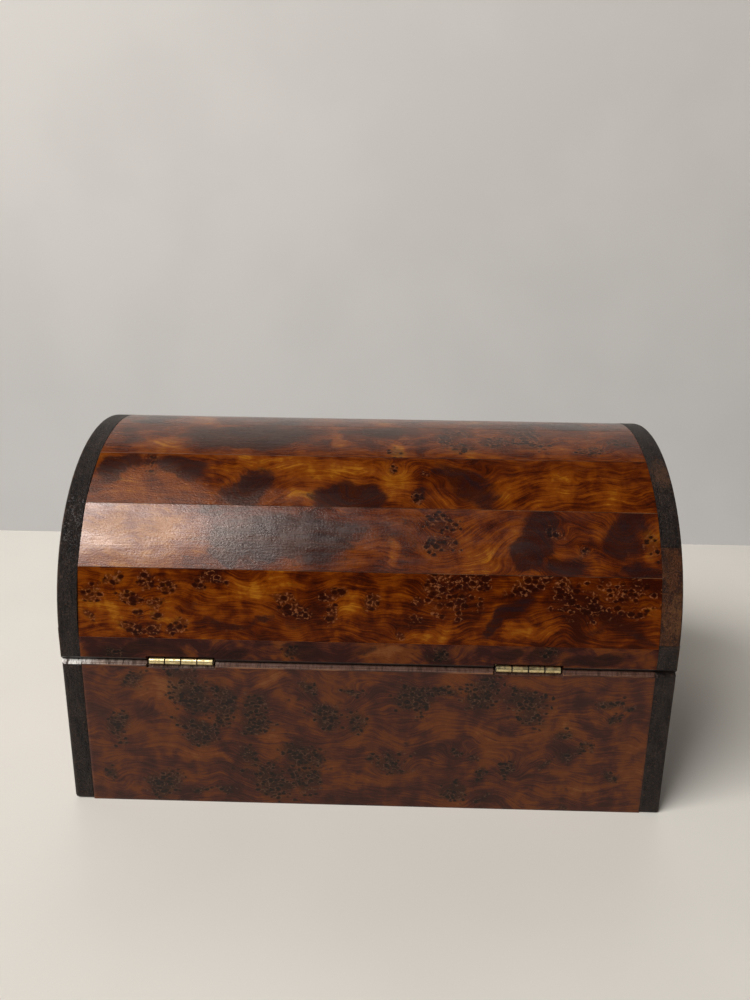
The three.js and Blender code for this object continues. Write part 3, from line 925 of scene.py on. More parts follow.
@dataclass(frozen=True)
class Spot:
    """An oval place in the figure, in mm: x along the piece, v up its face, half sizes, strength and turn."""

    x: float
    v: float
    wide: float
    high: float
    weight: float = 1.0
    turn: float = 0.0

    def nearness(self, x: np.ndarray, v: np.ndarray, spread: float = 1.0) -> np.ndarray:
        """Works out how far into the spot each point lies.

        Args:
            x: places along the piece.
            v: places up its face.
            spread: a factor on the spot's size.

        Returns:
            The squared distance from the middle, where 1 is the rim.
        """
        turn = math.radians(self.turn)
        along = (x - self.x) * math.cos(turn) + (v - self.v) * math.sin(turn)
        across = (v - self.v) * math.cos(turn) - (x - self.x) * math.sin(turn)
        return (along / (self.wide * spread)) ** 2 + (across / (self.high * spread)) ** 2


# How steeply a spot falls off and how sharp its rim is, and the lengths of the waves in mm
SPOT_FALL, SPOT_RIM = 0.7, 1.6
WAVES = (46.0, 31.0, 21.0, 14.0, 9.5, 6.5, 4.5)

# How far the noise and the grain's layers move, in mm, for each step of a board's seed
OTHER_WOOD = np.array([37.0, 11.0, 19.0])
OTHER_LAYER = 3.1


def flat_topped(spots: Iterable[Spot], x: np.ndarray, v: np.ndarray, spread: float = 1.0) -> np.ndarray:
    """Lays spots with a flat top and a soft rim over each other.

    Args:
        spots: the spots.
        x: places along the piece.
        v: places up its face.
        spread: a factor on each spot's size.

    Returns:
        The strongest spot's share at each point.
    """
    result = np.zeros_like(x)
    for spot in spots:
        share = np.exp(-SPOT_FALL * spot.nearness(x, v, spread) ** SPOT_RIM)
        result = np.maximum(result, spot.weight * share)
    return result


def wandered(x: np.ndarray, v: np.ndarray, seed: float, reach: float) -> tuple[np.ndarray, np.ndarray]:
    """Moves places about in smooth waves, so that the spots painted there lose their oval shape.

    Args:
        x: places along the piece in mm.
        v: places up its face in mm.
        seed: the start of the waves' random draws.
        reach: how strongly places move, as a share of each wave's length.

    Returns:
        The moved places.
    """
    draw = np.random.default_rng(round(10 * abs(seed)))
    moved_x, moved_v = x.copy(), v.copy()
    for length in WAVES:
        for _ in range(2):
            heading, phase, push = draw.uniform(0, 2 * math.pi, 3)
            ahead = x * math.cos(heading) + v * math.sin(heading)
            wave = reach * length * np.sin(ahead * 2 * math.pi / length + phase)
            moved_x = moved_x + wave * math.cos(push)
            moved_v = moved_v + wave * math.sin(push)
    return moved_x, moved_v


@dataclass(frozen=True)
class Figure:
    """The figure of one board: clouds, glows, eyes, knots that bend the grain and dulled places.

    Calm and ragged are how far outlines wander, as a share of each wave. Drift is the tone's change in
    100 mm along x, slope the grain's rise along x, and the seed moves the board to wood of its own.
    """

    clouds: tuple[Spot, ...] = ()
    glows: tuple[Spot, ...] = ()
    eyes: tuple[Spot, ...] = ()
    knots: tuple[Spot, ...] = ()
    dulled: tuple[Spot, ...] = ()
    calm: float = 0.045
    ragged: float = 0.03
    eye_spread: float = 1.15
    tone: float = 0.0
    drift: float = 0.0
    slope: float = 0.0
    seed: float = 0.0

    def paint(self, mesh: bpy.types.Mesh, place: np.ndarray) -> None:
        """Writes the figure to a mesh as attributes for the shader.

        Args:
            mesh: the finished mesh.
            place: for each vertex, x along the piece, v up its face and the depth under it, in mm.
        """
        x, v = place[:, 0], place[:, 1]
        layer = v + self.slope * x
        for knot in self.knots:
            layer = layer + knot.weight * knot.high * np.exp(-knot.nearness(x, v))
        soft = wandered(x, v, self.seed, self.calm)
        torn = wandered(x, v, self.seed + 1, self.ragged)
        write_vectors(mesh, "place", place + OTHER_WOOD * self.seed)
        for name, values in (
            ("layer", layer + OTHER_LAYER * self.seed),
            ("cloud", flat_topped(self.clouds, *soft)),
            ("glow", flat_topped(self.glows, *soft)),
            ("eyes", flat_topped(self.eyes, *torn, self.eye_spread)),
            ("dulled", flat_topped(self.dulled, *soft)),
            ("tone", self.tone + self.drift * x / 100),
        ):
            write_numbers(mesh, name, values)


def write_numbers(mesh: bpy.types.Mesh, name: str, values: np.ndarray) -> None:
    """Stores a number for each vertex of a mesh under an attribute's name."""
    mesh.attributes.new(name, "FLOAT", "POINT").data.foreach_set("value", values.astype(np.float32))


def write_vectors(mesh: bpy.types.Mesh, name: str, values: np.ndarray) -> None:
    """Stores a row of three numbers for each vertex of a mesh under an attribute's name."""
    data = mesh.attributes.new(name, "FLOAT_VECTOR", "POINT").data
    data.foreach_set("vector", values.astype(np.float32).ravel())


def spots(*rows: tuple[float, ...], weight: float = 1.0) -> tuple[Spot, ...]:
    """Makes spots from rows of x, v, half width, half height, weight and turn, and weakens them all."""
    return tuple(replace(spot, weight=spot.weight * weight) for spot in (Spot(*row) for row in rows))


def seeded_figure(seed: int, width: float, low: float, high: float, tone: float = 0.0) -> Figure:
    """Makes the figure of a board that the photograph doesn't show.

    Args:
        seed: the start of its random draws.
        width: the board's width in mm.
        low: its lowest place in mm.
        high: its highest place in mm.
        tone: how light the board is.

    Returns:
        A figure of the same kind as the boards that are seen.
    """
    draw = np.random.default_rng(seed)
    area = width * (high - low)

    def scatter(each: float, small: float, large: float, least: float) -> tuple[Spot, ...]:
        """Draws spots all over the board.

        Args:
            each: the area in square mm that has one.
            small: their least half height in mm.
            large: their largest half height in mm.
            least: their least weight.

        Returns:
            The spots.
        """
        made = []
        for _ in range(round(area / each)):
            size = draw.uniform(small, large)
            made.append(
                Spot(
                    x=draw.uniform(-width / 2, width / 2),
                    v=draw.uniform(low, high),
                    wide=size * draw.uniform(1.0, 1.8),
                    high=size,
                    weight=draw.uniform(least, 1.0),
                    turn=draw.uniform(-35, 35),
                )
            )
        return tuple(made)

    clouds = scatter(600, 3.0, 9.0, 0.6)
    knots = scatter(800, 4.0, 10.0, 0.7)
    return Figure(
        clouds=clouds,
        glows=scatter(700, 3.0, 9.0, 0.4),
        eyes=scatter(260, 1.2, 4.2, 0.55),
        knots=knots,
        tone=tone,
        slope=draw.uniform(-0.04, 0.04),
        seed=seed,
    )


STAVE_FIGURES = {
    "stave_1": Figure(
        clouds=spots(
            (53, 10.7, 12, 3.6, 1.0, 24), (-52, 6, 22, 2.4, 0.75, 4), (-29, 12, 6, 6, 0.5),
            (-70, 14, 9, 4, 0.4, 20), (-92, 24, 8, 3, 0.4), (20, 24, 12, 3, 0.45), (92, 8, 18, 3, 0.5, 12),
            (1, 13, 4, 5, 0.5), (104, 3, 8, 3, 0.6),
        ),
        glows=spots(
            (63, 6, 11, 3, 0.9, 12), (-98, 13, 9, 5, 0.4), (-42, 21, 14, 5, 0.6), (-8, 12, 9, 11, 0.7),
            (30, 5, 16, 4, 0.6), (-6, 4, 8, 3, 0.5), (12, 12, 6, 8, 0.4), (-90, 13, 24, 13, 0.55),
        ),
        eyes=spots(
            (-100, 24.2, 1.5, 1.5), (-95, 24.3, 2.4, 2.0), (-106, 18.7, 4.3, 2.8), (-89, 17.3, 3.8, 2.1),
            (-83, 23.8, 2.0, 2.4), (-76, 22.4, 2.9, 2.3), (-81, 15.5, 2.2, 1.8), (-88, 11.5, 1.6, 1.4),
            (-108.5, 8.6, 1.6, 2.0), (-91, 5.4, 4.0, 2.0), (-81, 10.4, 2.0, 1.5), (-82, 4.8, 2.2, 2.2),
            (-74, 3.8, 2.7, 2.5), (-65, 21.1, 1.7, 1.7), (-59, 25.1, 3.7, 2.1), (-32, 16.6, 3.3, 1.7),
            (-29, 11.2, 3.6, 3.2), (-17, 18.1, 2.4, 1.5), (-12, 20.1, 3.0, 1.7), (-16, 11.5, 2.1, 3.1),
            (1, 14.3, 3.0, 3.2), (26, 21.9, 4.3, 4.3), (38, 23.3, 2.8, 3.0), (44, 24.6, 2.6, 2.6),
            (18, 17.3, 1.5, 1.5), (34, 14.6, 2.3, 2.3), (62, 24.2, 5.0, 3.4), (73, 19.9, 3.8, 5.0),
            (92, 19, 17, 6, 0.45), (86, 18, 3.5, 5, 0.7), (101, 21, 5, 2.4, 0.6), (13, 3.8, 1.5, 1.5),
            (30, 17, 10, 6, 0.42),
        ),
        knots=spots(
            (26, 20, 9, 8, 0.7), (-29, 12, 7, 6, 0.8), (78, 14, 14, 9, -0.7), (95, 9, 12, 7, 0.8),
            (13, 4, 4, 3, 1.0),
        ),
        tone=-0.10,
        drift=-0.10,
        slope=0.02,
        seed=1,
    ),
    "stave_2": Figure(
        clouds=spots(
            (-57, 3.9, 7, 3.0, 1.0), (-36, 4.3, 9, 3.8, 1.0), (-34, 12, 31, 11, 1.1),
            (64, 14.4, 6, 11, 1.1), (76, 4.8, 9, 3.2, 1.0), (100, 16, 7.5, 8.5, 1.0),
            (106, 4.5, 6.5, 3.6, 0.95), (13, 16, 16, 9, 0.5), (22, 9, 8, 5, 0.4), (-86, 23, 10, 1.6, 0.4),
        ),
        # The strong glow at the left end is paler wood, and partly a painted highlight that lightens the wood
        # where the lamp's reflection lies
        glows=spots(
            (10, 8, 2.2, 5, 1.0), (44, 11, 13, 11, 0.55), (-92, 12, 24, 15, 1.25), (88, 10, 4, 13, 0.5),
            (110.5, 14, 2.2, 6, 1.0),
        ),
        eyes=spots(
            (27, 19.9, 4.8, 3.8), (27, 9.1, 5.4, 2.9), (72, 14.5, 2.6, 2.4, 0.8), (82, 9.5, 1.7, 1.7, 0.8),
            (107, 14, 3, 6, 0.6),
        ),
        knots=spots(
            (73, 15, 6, 5.5, 1.8), (82, 9.5, 2.8, 2.8, 1.5), (100, 16, 10, 9, 1.1), (60, 13, 12, 14, -1.0),
            (27, 13, 10, 9, 0.9), (-40, 3, 16, 8, 0.6),
        ),
        dulled=spots(
            (-96, 19, 24, 6, 0.75), (-70, 24, 30, 4, 0.5), (-60, 12, 24, 10, 0.3), (-84, 0, 40, 6, 1.0),
        ),
        tone=-0.03,
        drift=-0.08,
        slope=0.01,
        seed=2,
    ),
    "stave_3": Figure(
        clouds=spots(
            (-105, 18, 9, 6.4, 1.1), (-79, 17.5, 10, 6.2, 1.1), (-49, 7.6, 10.5, 8.2, 1.1),
            (-9, 4.6, 12.5, 6.0, 1.1), (36, 12, 14, 9, 0.95, -40), (20, 5.2, 2.9, 2.6, 0.95),
            (24, 16.4, 2.4, 2.9, 0.95), (12, 24, 8, 3, 0.5), (60, 22, 9, 3, 0.4),
        ),
        glows=spots(
            (-28, 18, 38, 6, 0.75), (-54, 1.8, 2.4, 1.2, 0.9), (-24, 3, 7, 3, 0.8), (9, 13, 8, 9, 0.9),
            (79, 10, 27, 9, 0.5), (-92, 10, 14, 5, 0.4), (-70, 9, 7, 6, 0.3),
        ),
        eyes=spots(
            (10, 18.4, 1.8, 1.8), (24, 16.2, 1.7, 2.2, 0.9), (-91, 20.5, 2.6, 2.2, 0.85),
            (20, 5, 1.9, 1.8, 0.8), (-89, 15, 2, 2, 0.6),
        ),
        knots=spots(
            (-49, 4, 13, 11, 1.2), (-9, 2, 14, 9, 1.1), (-92, 15, 8, 7, 0.9), (11, 17, 6, 5, 1.2),
            (40, 0, 24, 17, 1.0), (-105, 20, 8, 6, 0.7),
        ),
        dulled=spots((-92, 5, 32, 11, 1.0), (-40, 3, 24, 4, 0.5)),
        tone=-0.02,
        drift=-0.06,
        slope=0.0,
        seed=3,
    ),
    "stave_4": Figure(
        clouds=spots(
            (-50, 14, 32, 9.5, 1.0), (-103, 12, 5, 5, 0.7), (4, 19, 24, 6, 0.8), (95, 18, 13, 6, 0.4),
            (46, 8, 20, 8, 0.4), (-95, 21, 12, 3, 0.5), (-20, 8, 8, 4, 0.6),
        ),
        glows=spots(
            (-86, 7, 12, 6, 0.7), (-13, 11, 2.8, 2.6, 1.2), (9, 4.5, 5.5, 4, 1.1), (33, 3, 12, 2.6, 0.8),
            (75, 9, 26, 8, 0.3), (-100, 4, 8, 3, 0.4),
        ),
        eyes=spots(
            (32, 14, 2.6, 5.2), (38, 7, 3.2, 3.0), (50, 12, 4.6, 3.0), (67, 12, 5.6, 3.8),
            (67, 20, 6.2, 4.2, 0.9), (90, 6.1, 5.0, 2.4), (103, 12.7, 2.6, 2.6), (12, 3.4, 3.2, 3.0, 0.75),
            (38, 20, 5, 3, 0.6),
        ),
        knots=spots((-50, 10, 30, 9, 0.8), (12, 6, 8, 7, 0.9), (64, 14, 12, 8, 0.7), (90, 8, 9, 6, 0.7)),
        tone=-0.02,
        slope=-0.02,
        seed=4,
    ),
}
RAIL_FIGURE = Figure(
    clouds=spots(
        (-92, 68, 17, 3.6, 1.0), (-54, 68.6, 6, 3.2, 1.0), (-27, 68, 11, 3.6, 1.0), (29, 69, 8, 3.6, 0.95),
        (54, 69, 5, 3.6, 0.95), (68, 69.4, 7, 3.4, 0.95), (90, 69, 11, 3.6, 0.95), (-5, 71, 8, 2, 0.6),
    ),
    glows=spots((-70, 69, 4.5, 3, 0.9), (11, 69, 9, 3, 0.8), (78, 67, 3, 2, 0.5), (44, 67.5, 5, 2, 0.4)),
    eyes=spots((-30, 69, 3, 2, 0.7), (29, 69, 4, 2.4, 0.8), (68, 69.5, 3, 2, 0.8), (-98, 69, 4, 2, 0.6)),
    knots=spots((-64, 66, 9, 6, 1.0), (29, 69, 8, 4, 0.8), (90, 69, 8, 4, 0.8)),
    tone=-0.12,
    seed=5,
)
BACK_FIGURE = Figure(
    clouds=spots(
        (-66, 49, 13, 7, 0.6), (-68, 36, 9, 9, 0.55), (-43, 41, 9, 11, 0.55), (47, 50, 9, 6, 0.5),
        (-98, 48, 10, 10, 0.45), (-41, 14.5, 9, 8, 0.55), (-83, 10, 6, 7, 0.5), (-68, 15, 7, 5, 0.5),
        (-25, 18, 6, 9, 0.55), (20, 50, 7, 6, 0.5), (34, 10, 8, 4, 0.5), (2, 30, 9, 8, 0.3),
        (104, 56, 8, 4, 0.4), (-13, 46, 9, 7, 0.45),
    ),
    glows=spots(
        (-81, 51.5, 9.5, 5.5, 0.9, -20), (-64, 22.5, 12.6, 2.8, 0.6), (-36, 57, 7, 2.2, 0.9),
        (-37, 31.6, 6.2, 3.7, 0.8), (80, 44, 20, 5, 0.5), (20, 36, 6, 5, 0.5, 60), (58, 34, 16, 6, 0.3),
        (88, 10, 16, 6, 0.4), (0, 12, 6, 6, 0.3), (104, 25, 7, 12, 0.35),
    ),
    eyes=spots(
        (-93, 56.2, 6.0, 3.0), (-70, 50, 5.0, 4.4), (-60, 47, 5.0, 5.2), (-68, 36.5, 7.4, 4.2),
        (-66, 30, 5.0, 3.6), (-45, 46, 6.0, 4.6), (-42, 36, 6.4, 5.4), (19, 50.6, 5.5, 4.8),
        (30, 53.1, 5.4, 2.8), (47, 50.5, 7.4, 5.6), (64, 47.8, 5.6, 3.6), (75, 38.1, 4.0, 1.8),
        (97, 47.4, 6.2, 2.6), (107, 43.7, 2.8, 1.6), (101, 38.4, 2.8, 2.1), (87, 31.0, 3.6, 1.6),
        (79, 24.3, 3.8, 3.8), (72, 19.5, 1.8, 1.6), (48, 16.7, 2.5, 1.8), (34, 10.9, 6.2, 3.6),
        (49, 8.0, 2.5, 1.6), (101, 15.2, 2.9, 1.6), (79, 5.1, 1.8, 1.6), (92, 2.7, 1.8, 1.5),
        (13, 18.5, 5.0, 4.2), (-98, 32.6, 5.0, 6.2), (-25, 23, 5.4, 4.2), (-27, 14, 4.8, 4.6),
        (-44, 18, 5.4, 3.6), (-38, 10, 5.2, 3.6), (-83, 9.7, 5.0, 6.4), (-69, 5.4, 3.2, 2.6),
        (-56, 5.8, 4.0, 2.6), (-22, 50, 3.4, 2.6), (-6, 52, 4.4, 2.4), (-18, 41, 4.0, 2.8),
        (-5, 40, 4.4, 2.6), (36, 25, 3.0, 1.8), (44, 24, 2.2, 1.6), (59, 19, 2.6, 3.4),
        (-104, 14, 3.0, 3.4), (4, 22, 2.6, 2.0),
        weight=0.7,
    ),
    knots=spots(
        (-13, 46, 13, 11, 0.8), (38, 25, 6, 3.4, 1.2), (60, 17.5, 4, 6, 1.0), (-66, 40, 12, 10, 0.6),
        (47, 50, 10, 7, 0.7), (82, 52, 22, 12, 0.6), (-30, 16, 10, 9, 0.7), (13, 18, 6, 5, 0.9),
        (79, 24, 5, 5, 0.9), (98, 43, 9, 7, 0.7), (-96, 34, 8, 9, 0.7),
    ),
    ragged=0.05,
    tone=-0.03,
    slope=0.05,
    seed=6,
)
BAND_WEAR = {
    "right_band_arch": spots((72, 117, 9, 6, 0.85), (81, 116, 4, 2.5, 0.7)),
    "right_band_bare_lower": spots((12, 117, 12, 6, 0.8)),
    "left_band_arch": spots((88, -119, 9, 2, 0.5), (20, -118, 12, 1.5, 0.4)),
}


# Mesh making


def copy_of(node: str) -> bmesh.types.BMesh:
    """Copies a CAD node's mesh with its loose triangles joined and its flat areas made single faces.

    Args:
        node: the node's name.

    Returns:
        The copy.
    """
    bm = bmesh.new()
    bm.from_mesh(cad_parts[node].data)
    bmesh.ops.remove_doubles(bm, verts=bm.verts, dist=MERGE)
    bmesh.ops.dissolve_limit(bm, angle_limit=math.radians(0.5), verts=bm.verts, edges=bm.edges)
    return bm


def sharp_edges(
    bm: bmesh.types.BMesh, wanted: Callable[[Vector], bool] = lambda point: True, angle: float = SQUARE_DEG
) -> list:
    """Finds the edges with both ends wanted where two faces meet at more than an angle in degrees."""
    folded = [edge for edge in bm.edges if edge.is_manifold and edge.calc_face_angle() > math.radians(angle)]
    return [edge for edge in folded if all(wanted(vert.co) for vert in edge.verts)]


def slanted_faces(bm: bmesh.types.BMesh) -> list:
    """Finds the faces that are neither upright nor level, such as the chamfers of the back seam."""
    return [face for face in bm.faces if 0.3 < abs(face.normal.z) < 0.9]


def worn(away: np.ndarray) -> np.ndarray:
    """Turns distances from an edge in mm into wear, from 1 on the edge to 0 where its reach ends."""
    return np.clip(1 - away / WEAR_REACH, 0, 1)


def of_kind(items: Iterable[object], kind: type) -> list:
    """Picks the verts, edges or faces out of what an operator gives back."""
    return [item for item in items if isinstance(item, kind)]


def bevel_edges(bm: bmesh.types.BMesh, edges: Sequence, width: float, segments: int) -> list:
    """Bevels edges.

    Args:
        bm: the mesh.
        edges: its edges to bevel.
        width: the bevel's width in metres.
        segments: steps across the bevel.

    Returns:
        The faces of the bevel.
    """
    if not edges:
        return []
    made = bmesh.ops.bevel(
        bm,
        geom=list(edges),
        offset=width,
        offset_type="OFFSET",
        segments=segments,
        profile=0.5,
        affect="EDGES",
        clamp_overlap=True,
        material=-1,
    )
    return made["faces"]


def cut_by_plane(bm: bmesh.types.BMesh, point: Vector, normal: Vector, cleared: bool = False) -> list:
    """Cuts a mesh by a plane.

    Args:
        bm: the mesh.
        point: a point on the plane.
        normal: its direction.
        cleared: whether what lies beyond it is taken off.

    Returns:
        What the cut made.
    """
    whole = bm.verts[:] + bm.edges[:] + bm.faces[:]
    return bmesh.ops.bisect_plane(
        bm, geom=whole, dist=SNAP, plane_co=point, plane_no=normal, clear_outer=cleared
    )["geom_cut"]


def cut_lattice(bm: bmesh.types.BMesh, axes: Iterable[int], cell: float) -> None:
    """Cuts a mesh along evenly spaced planes, so that it can carry a fine figure.

    Args:
        bm: the mesh.
        axes: the axes that the planes stand across.
        cell: the distance between planes in metres.
    """
    for axis in axes:
        values = [vert.co[axis] for vert in bm.verts]
        low, high = min(values), max(values)
        count = max(1, round((high - low) / cell))
        normal = Vector([float(axis == i) for i in range(3)])
        for i in range(1, count):
            cut_by_plane(bm, normal * (low + (high - low) * i / count), normal)


@dataclass
class Piece:
    """A new mesh piece: what it is called, what it rides on and the slot and nodes that it stands for."""

    name: str
    body: Body
    slot: Slot
    replaced: tuple[str, ...]
    smooth_angle: float = 35.0

    def finish(self, bm: bmesh.types.BMesh, materials: Sequence[bpy.types.Material]) -> bpy.types.Object:
        """Makes the object from its mesh and ties it to the frame.

        Args:
            bm: the mesh, which is freed.
            materials: its materials, in the order of their indices.

        Returns:
            The object.
        """
        mesh = bpy.data.meshes.new(self.name)
        bm.to_mesh(mesh)
        bm.free()
        for material in materials:
            mesh.materials.append(material)
        mesh.polygons.foreach_set("use_smooth", [True] * len(mesh.polygons))
        mesh.set_sharp_from_angle(angle=math.radians(self.smooth_angle))
        piece = bpy.data.objects.new(self.name, mesh)
        bpy.context.scene.collection.objects.link(piece)
        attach(piece, self.body.value)
        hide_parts(*self.replaced)
        log.info("%s: %d faces on %s", self.name, len(mesh.polygons), self.body.value)
        return piece


def points_of(mesh: bpy.types.Mesh) -> np.ndarray:
    """Reads a mesh's vertices.

    Args:
        mesh: the mesh.

    Returns:
        Its points in metres, one row each.
    """
    points = np.zeros(len(mesh.vertices) * 3, np.float32)
    mesh.vertices.foreach_get("co", points)
    return points.reshape(-1, 3).astype(float)


def refined(
    node: str, body: Body, slot: Slot, stock: Stock, edge: float, segments: int = 2
) -> bpy.types.Object:
    """Replaces a CAD node by a copy with eased edges.

    Args:
        node: the node.
        body: the body that it rides on.
        slot: its material slot.
        stock: the materials.
        edge: the width of the eased edges in metres.
        segments: steps across each eased edge.

    Returns:
        The new piece.
    """
    bm = copy_of(node)
    bevel_edges(bm, sharp_edges(bm, angle=EASED_DEG), edge, segments)
    return Piece(node + "_fine", body, slot, (node,)).finish(bm, [stock.by_slot[slot]])


# The box


@dataclass
class Panel:
    """A flat panel with a fine lattice: its node, the side that it faces and its figure."""

    node: str
    face: Face
    body: Body
    slot: Slot
    figure: Figure
    veneer: Veneer = Veneer.BASE
    cell: float = 1.0 * MM
    eased: float = 0.15 * MM
    eased_rim: float = 0.24 * MM

    @classmethod
    def unseen(
        cls, node: str, face: Face, body: Body, slot: Slot, seed: int, veneer: Veneer, tone: float = 0.0
    ) -> "Panel":
        """Plans a panel that the photograph doesn't show.

        Args:
            node: its CAD node.
            face: the side that it faces.
            body: the body that it rides on.
            slot: its material slot.
            seed: the start of its figure's random draws.
            veneer: its lot of veneer.
            tone: how light it is.

        Returns:
            The panel, with a figure drawn for its own size.
        """
        low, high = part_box(node)
        across = 1 - face.value[0]
        width = (high[across] - low[across]) / MM
        figure = seeded_figure(seed, width, low.z / MM, high.z / MM, tone)
        return cls(node, face, body, slot, figure, veneer)

    def place(self, points: np.ndarray) -> np.ndarray:
        """Lays the panel's face flat.

        Args:
            points: its vertices in metres.

        Returns:
            x along the face, height and depth under the face, in mm.
        """
        axis, way = self.face.value
        outward = way * points[:, axis]
        return np.stack([points[:, 1 - axis], points[:, 2], outward.max() - outward], 1) / MM

    def build(self, stock: Stock) -> bpy.types.Object:
        """Builds the panel with eased edges, raw wood where a slanted cut faces up, and near-black painted
        shade where one faces down.

        Args:
            stock: the materials.

        Returns:
            The panel.
        """
        bm = copy_of(self.node)
        slanted = slanted_faces(bm)
        # Slanted cuts that face up show raw wood; those that face down get the near-black painted shade
        for each in slanted:
            each.material_index = 2 if each.normal.z > 0 else 3
        rims = {edge for each in slanted for edge in each.edges if edge.is_manifold}
        rims = [edge for edge in rims if edge.calc_face_angle() > math.radians(RIM_DEG)]
        for line in bevel_edges(bm, rims, self.eased_rim, 1):
            line.material_index = 1
        for line in bevel_edges(bm, sharp_edges(bm), self.eased, 1):
            line.material_index = 1
        cut_lattice(bm, (1 - self.face.value[0], 2), self.cell)
        materials = [stock.veneers[self.veneer], stock.glue, stock.by_slot[Slot.CARCASS], stock.painted_shade]
        piece = Piece(self.node + "_figured", self.body, self.slot, (self.node,)).finish(bm, materials)
        self.figure.paint(piece.data, self.place(points_of(piece.data)))
        return piece


@dataclass(frozen=True)
class Dome:
    """The lid's round profile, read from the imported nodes, in metres."""

    spring: float
    radius: float

    @classmethod
    def from_frame(cls) -> "Dome":
        """Reads the profile from the back rail's top and the crown."""
        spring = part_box("back_rail")[1].z
        return cls(spring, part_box("stave_5")[1].z - spring)

    def angle(self, y: float, z: float) -> float:
        """Gives the angle about the dome's axis, from 0 at the back to pi at the front."""
        return math.atan2(max(z - self.spring, 0.0), -y)

    def place(self, points: np.ndarray, start: float) -> np.ndarray:
        """Unrolls the dome's surface.

        Args:
            points: vertices in metres.
            start: the angle where v is 0.

        Returns:
            x, the way round from the start, and the depth under the surface, in mm.
        """
        x, y, z = points.T
        rise = np.maximum(z - self.spring, 0.0)
        angle = np.arctan2(rise, -y)
        below = np.minimum(z - self.spring, 0.0)
        way = self.radius * (angle - start) + np.where(y < 0, below, -below)
        depth = self.radius - np.hypot(rise, y)
        return np.stack([x, way, depth], 1) / MM


@dataclass(frozen=True)
class ArchStretch:
    """A stretch of the dome's wall between two angles, with straight feet where it has them, in metres."""

    dome: Dome
    left: float
    right: float
    inner: float
    outer: float
    start: float
    end: float
    foot: float
    far_foot: float

    @classmethod
    def from_node(cls, node: str, dome: Dome) -> "ArchStretch":
        """Reads a stretch from a CAD node.

        Args:
            node: the node.
            dome: the lid's profile.

        Returns:
            The stretch with the node's own sizes.
        """
        low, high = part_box(node)
        points = [vert.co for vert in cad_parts[node].data.vertices]
        foot = max([dome.spring - p.z for p in points if p.y < 0] + [0.0])
        far_foot = max([dome.spring - p.z for p in points if p.y > 0] + [0.0])
        above = [p for p in points if p.z > dome.spring - SNAP]
        angles = [dome.angle(p.y, p.z) for p in above]
        reaches = [math.hypot(p.z - dome.spring, p.y) for p in above]
        return cls(
            dome=dome,
            left=low.x,
            right=high.x,
            inner=min(reaches),
            outer=max(reaches),
            start=0.0 if foot > SNAP else min(angles),
            end=math.pi if far_foot > SNAP else max(angles),
            foot=foot,
            far_foot=far_foot,
        )

    def build(self, cell: float) -> bmesh.types.BMesh:
        """Sweeps the stretch's section along its way.

        Args:
            cell: the size of its faces in metres.

        Returns:
            A closed mesh.
        """
        bm = bmesh.new()
        width, wall = self.right - self.left, self.outer - self.inner
        outward = Vector((0, -math.cos(self.start), math.sin(self.start)))
        middle = Vector(((self.left + self.right) / 2, 0, self.dome.spring))
        middle += outward * (self.inner + wall / 2)
        ahead = Vector((0, math.sin(self.start), math.cos(self.start)))
        turned = Matrix((Vector((width, 0, 0)), outward * wall, ahead)).transposed().to_4x4()
        bmesh.ops.create_grid(
            bm,
            x_segments=max(2, round(width / cell)),
            y_segments=max(1, round(wall / (2 * cell))),
            size=0.5,
            matrix=Matrix.Translation(middle - Vector((0, 0, self.foot))) @ turned,
        )
        cap = self.run_straight(bm, bm.faces[:], self.foot, cell)
        turn = self.end - self.start
        made = bmesh.ops.spin(
            bm,
            geom=[*{v for f in cap for v in f.verts}, *{e for f in cap for e in f.edges}, *cap],
            cent=(0, 0, self.dome.spring),
            axis=(-1, 0, 0),
            angle=turn,
            steps=max(2, round(turn * self.outer / cell)),
        )
        self.run_straight(bm, of_kind(made["geom_last"], bmesh.types.BMFace), -self.far_foot, cell)
        bmesh.ops.remove_doubles(bm, verts=bm.verts, dist=MERGE)
        bmesh.ops.recalc_face_normals(bm, faces=bm.faces)
        return bm

    def is_outer(self, point: Vector) -> bool:
        """Tells whether a point is on the stretch's outer surface."""
        return math.hypot(point.y, max(point.z - self.dome.spring, 0.0)) > self.outer - SNAP

    @staticmethod
    def run_straight(bm: bmesh.types.BMesh, cap: list, rise: float, cell: float) -> list:
        """Carries the section straight up or down.

        Args:
            bm: the mesh.
            cap: the section's faces.
            rise: how far up it goes in metres, or down where negative.
            cell: the size of the steps.

        Returns:
            The faces of the section where it ends.
        """
        if abs(rise) < SNAP:
            return cap
        count = max(1, round(abs(rise) / cell))
        for _ in range(count):
            walled = any(other not in cap for face in cap for edge in face.edges for other in edge.link_faces)
            moved = bmesh.ops.extrude_face_region(bm, geom=cap)["geom"]
            bmesh.ops.translate(bm, verts=of_kind(moved, bmesh.types.BMVert), vec=(0, 0, rise / count))
            if walled:
                bmesh.ops.delete(bm, geom=cap, context="FACES")
            cap = of_kind(moved, bmesh.types.BMFace)
        return cap


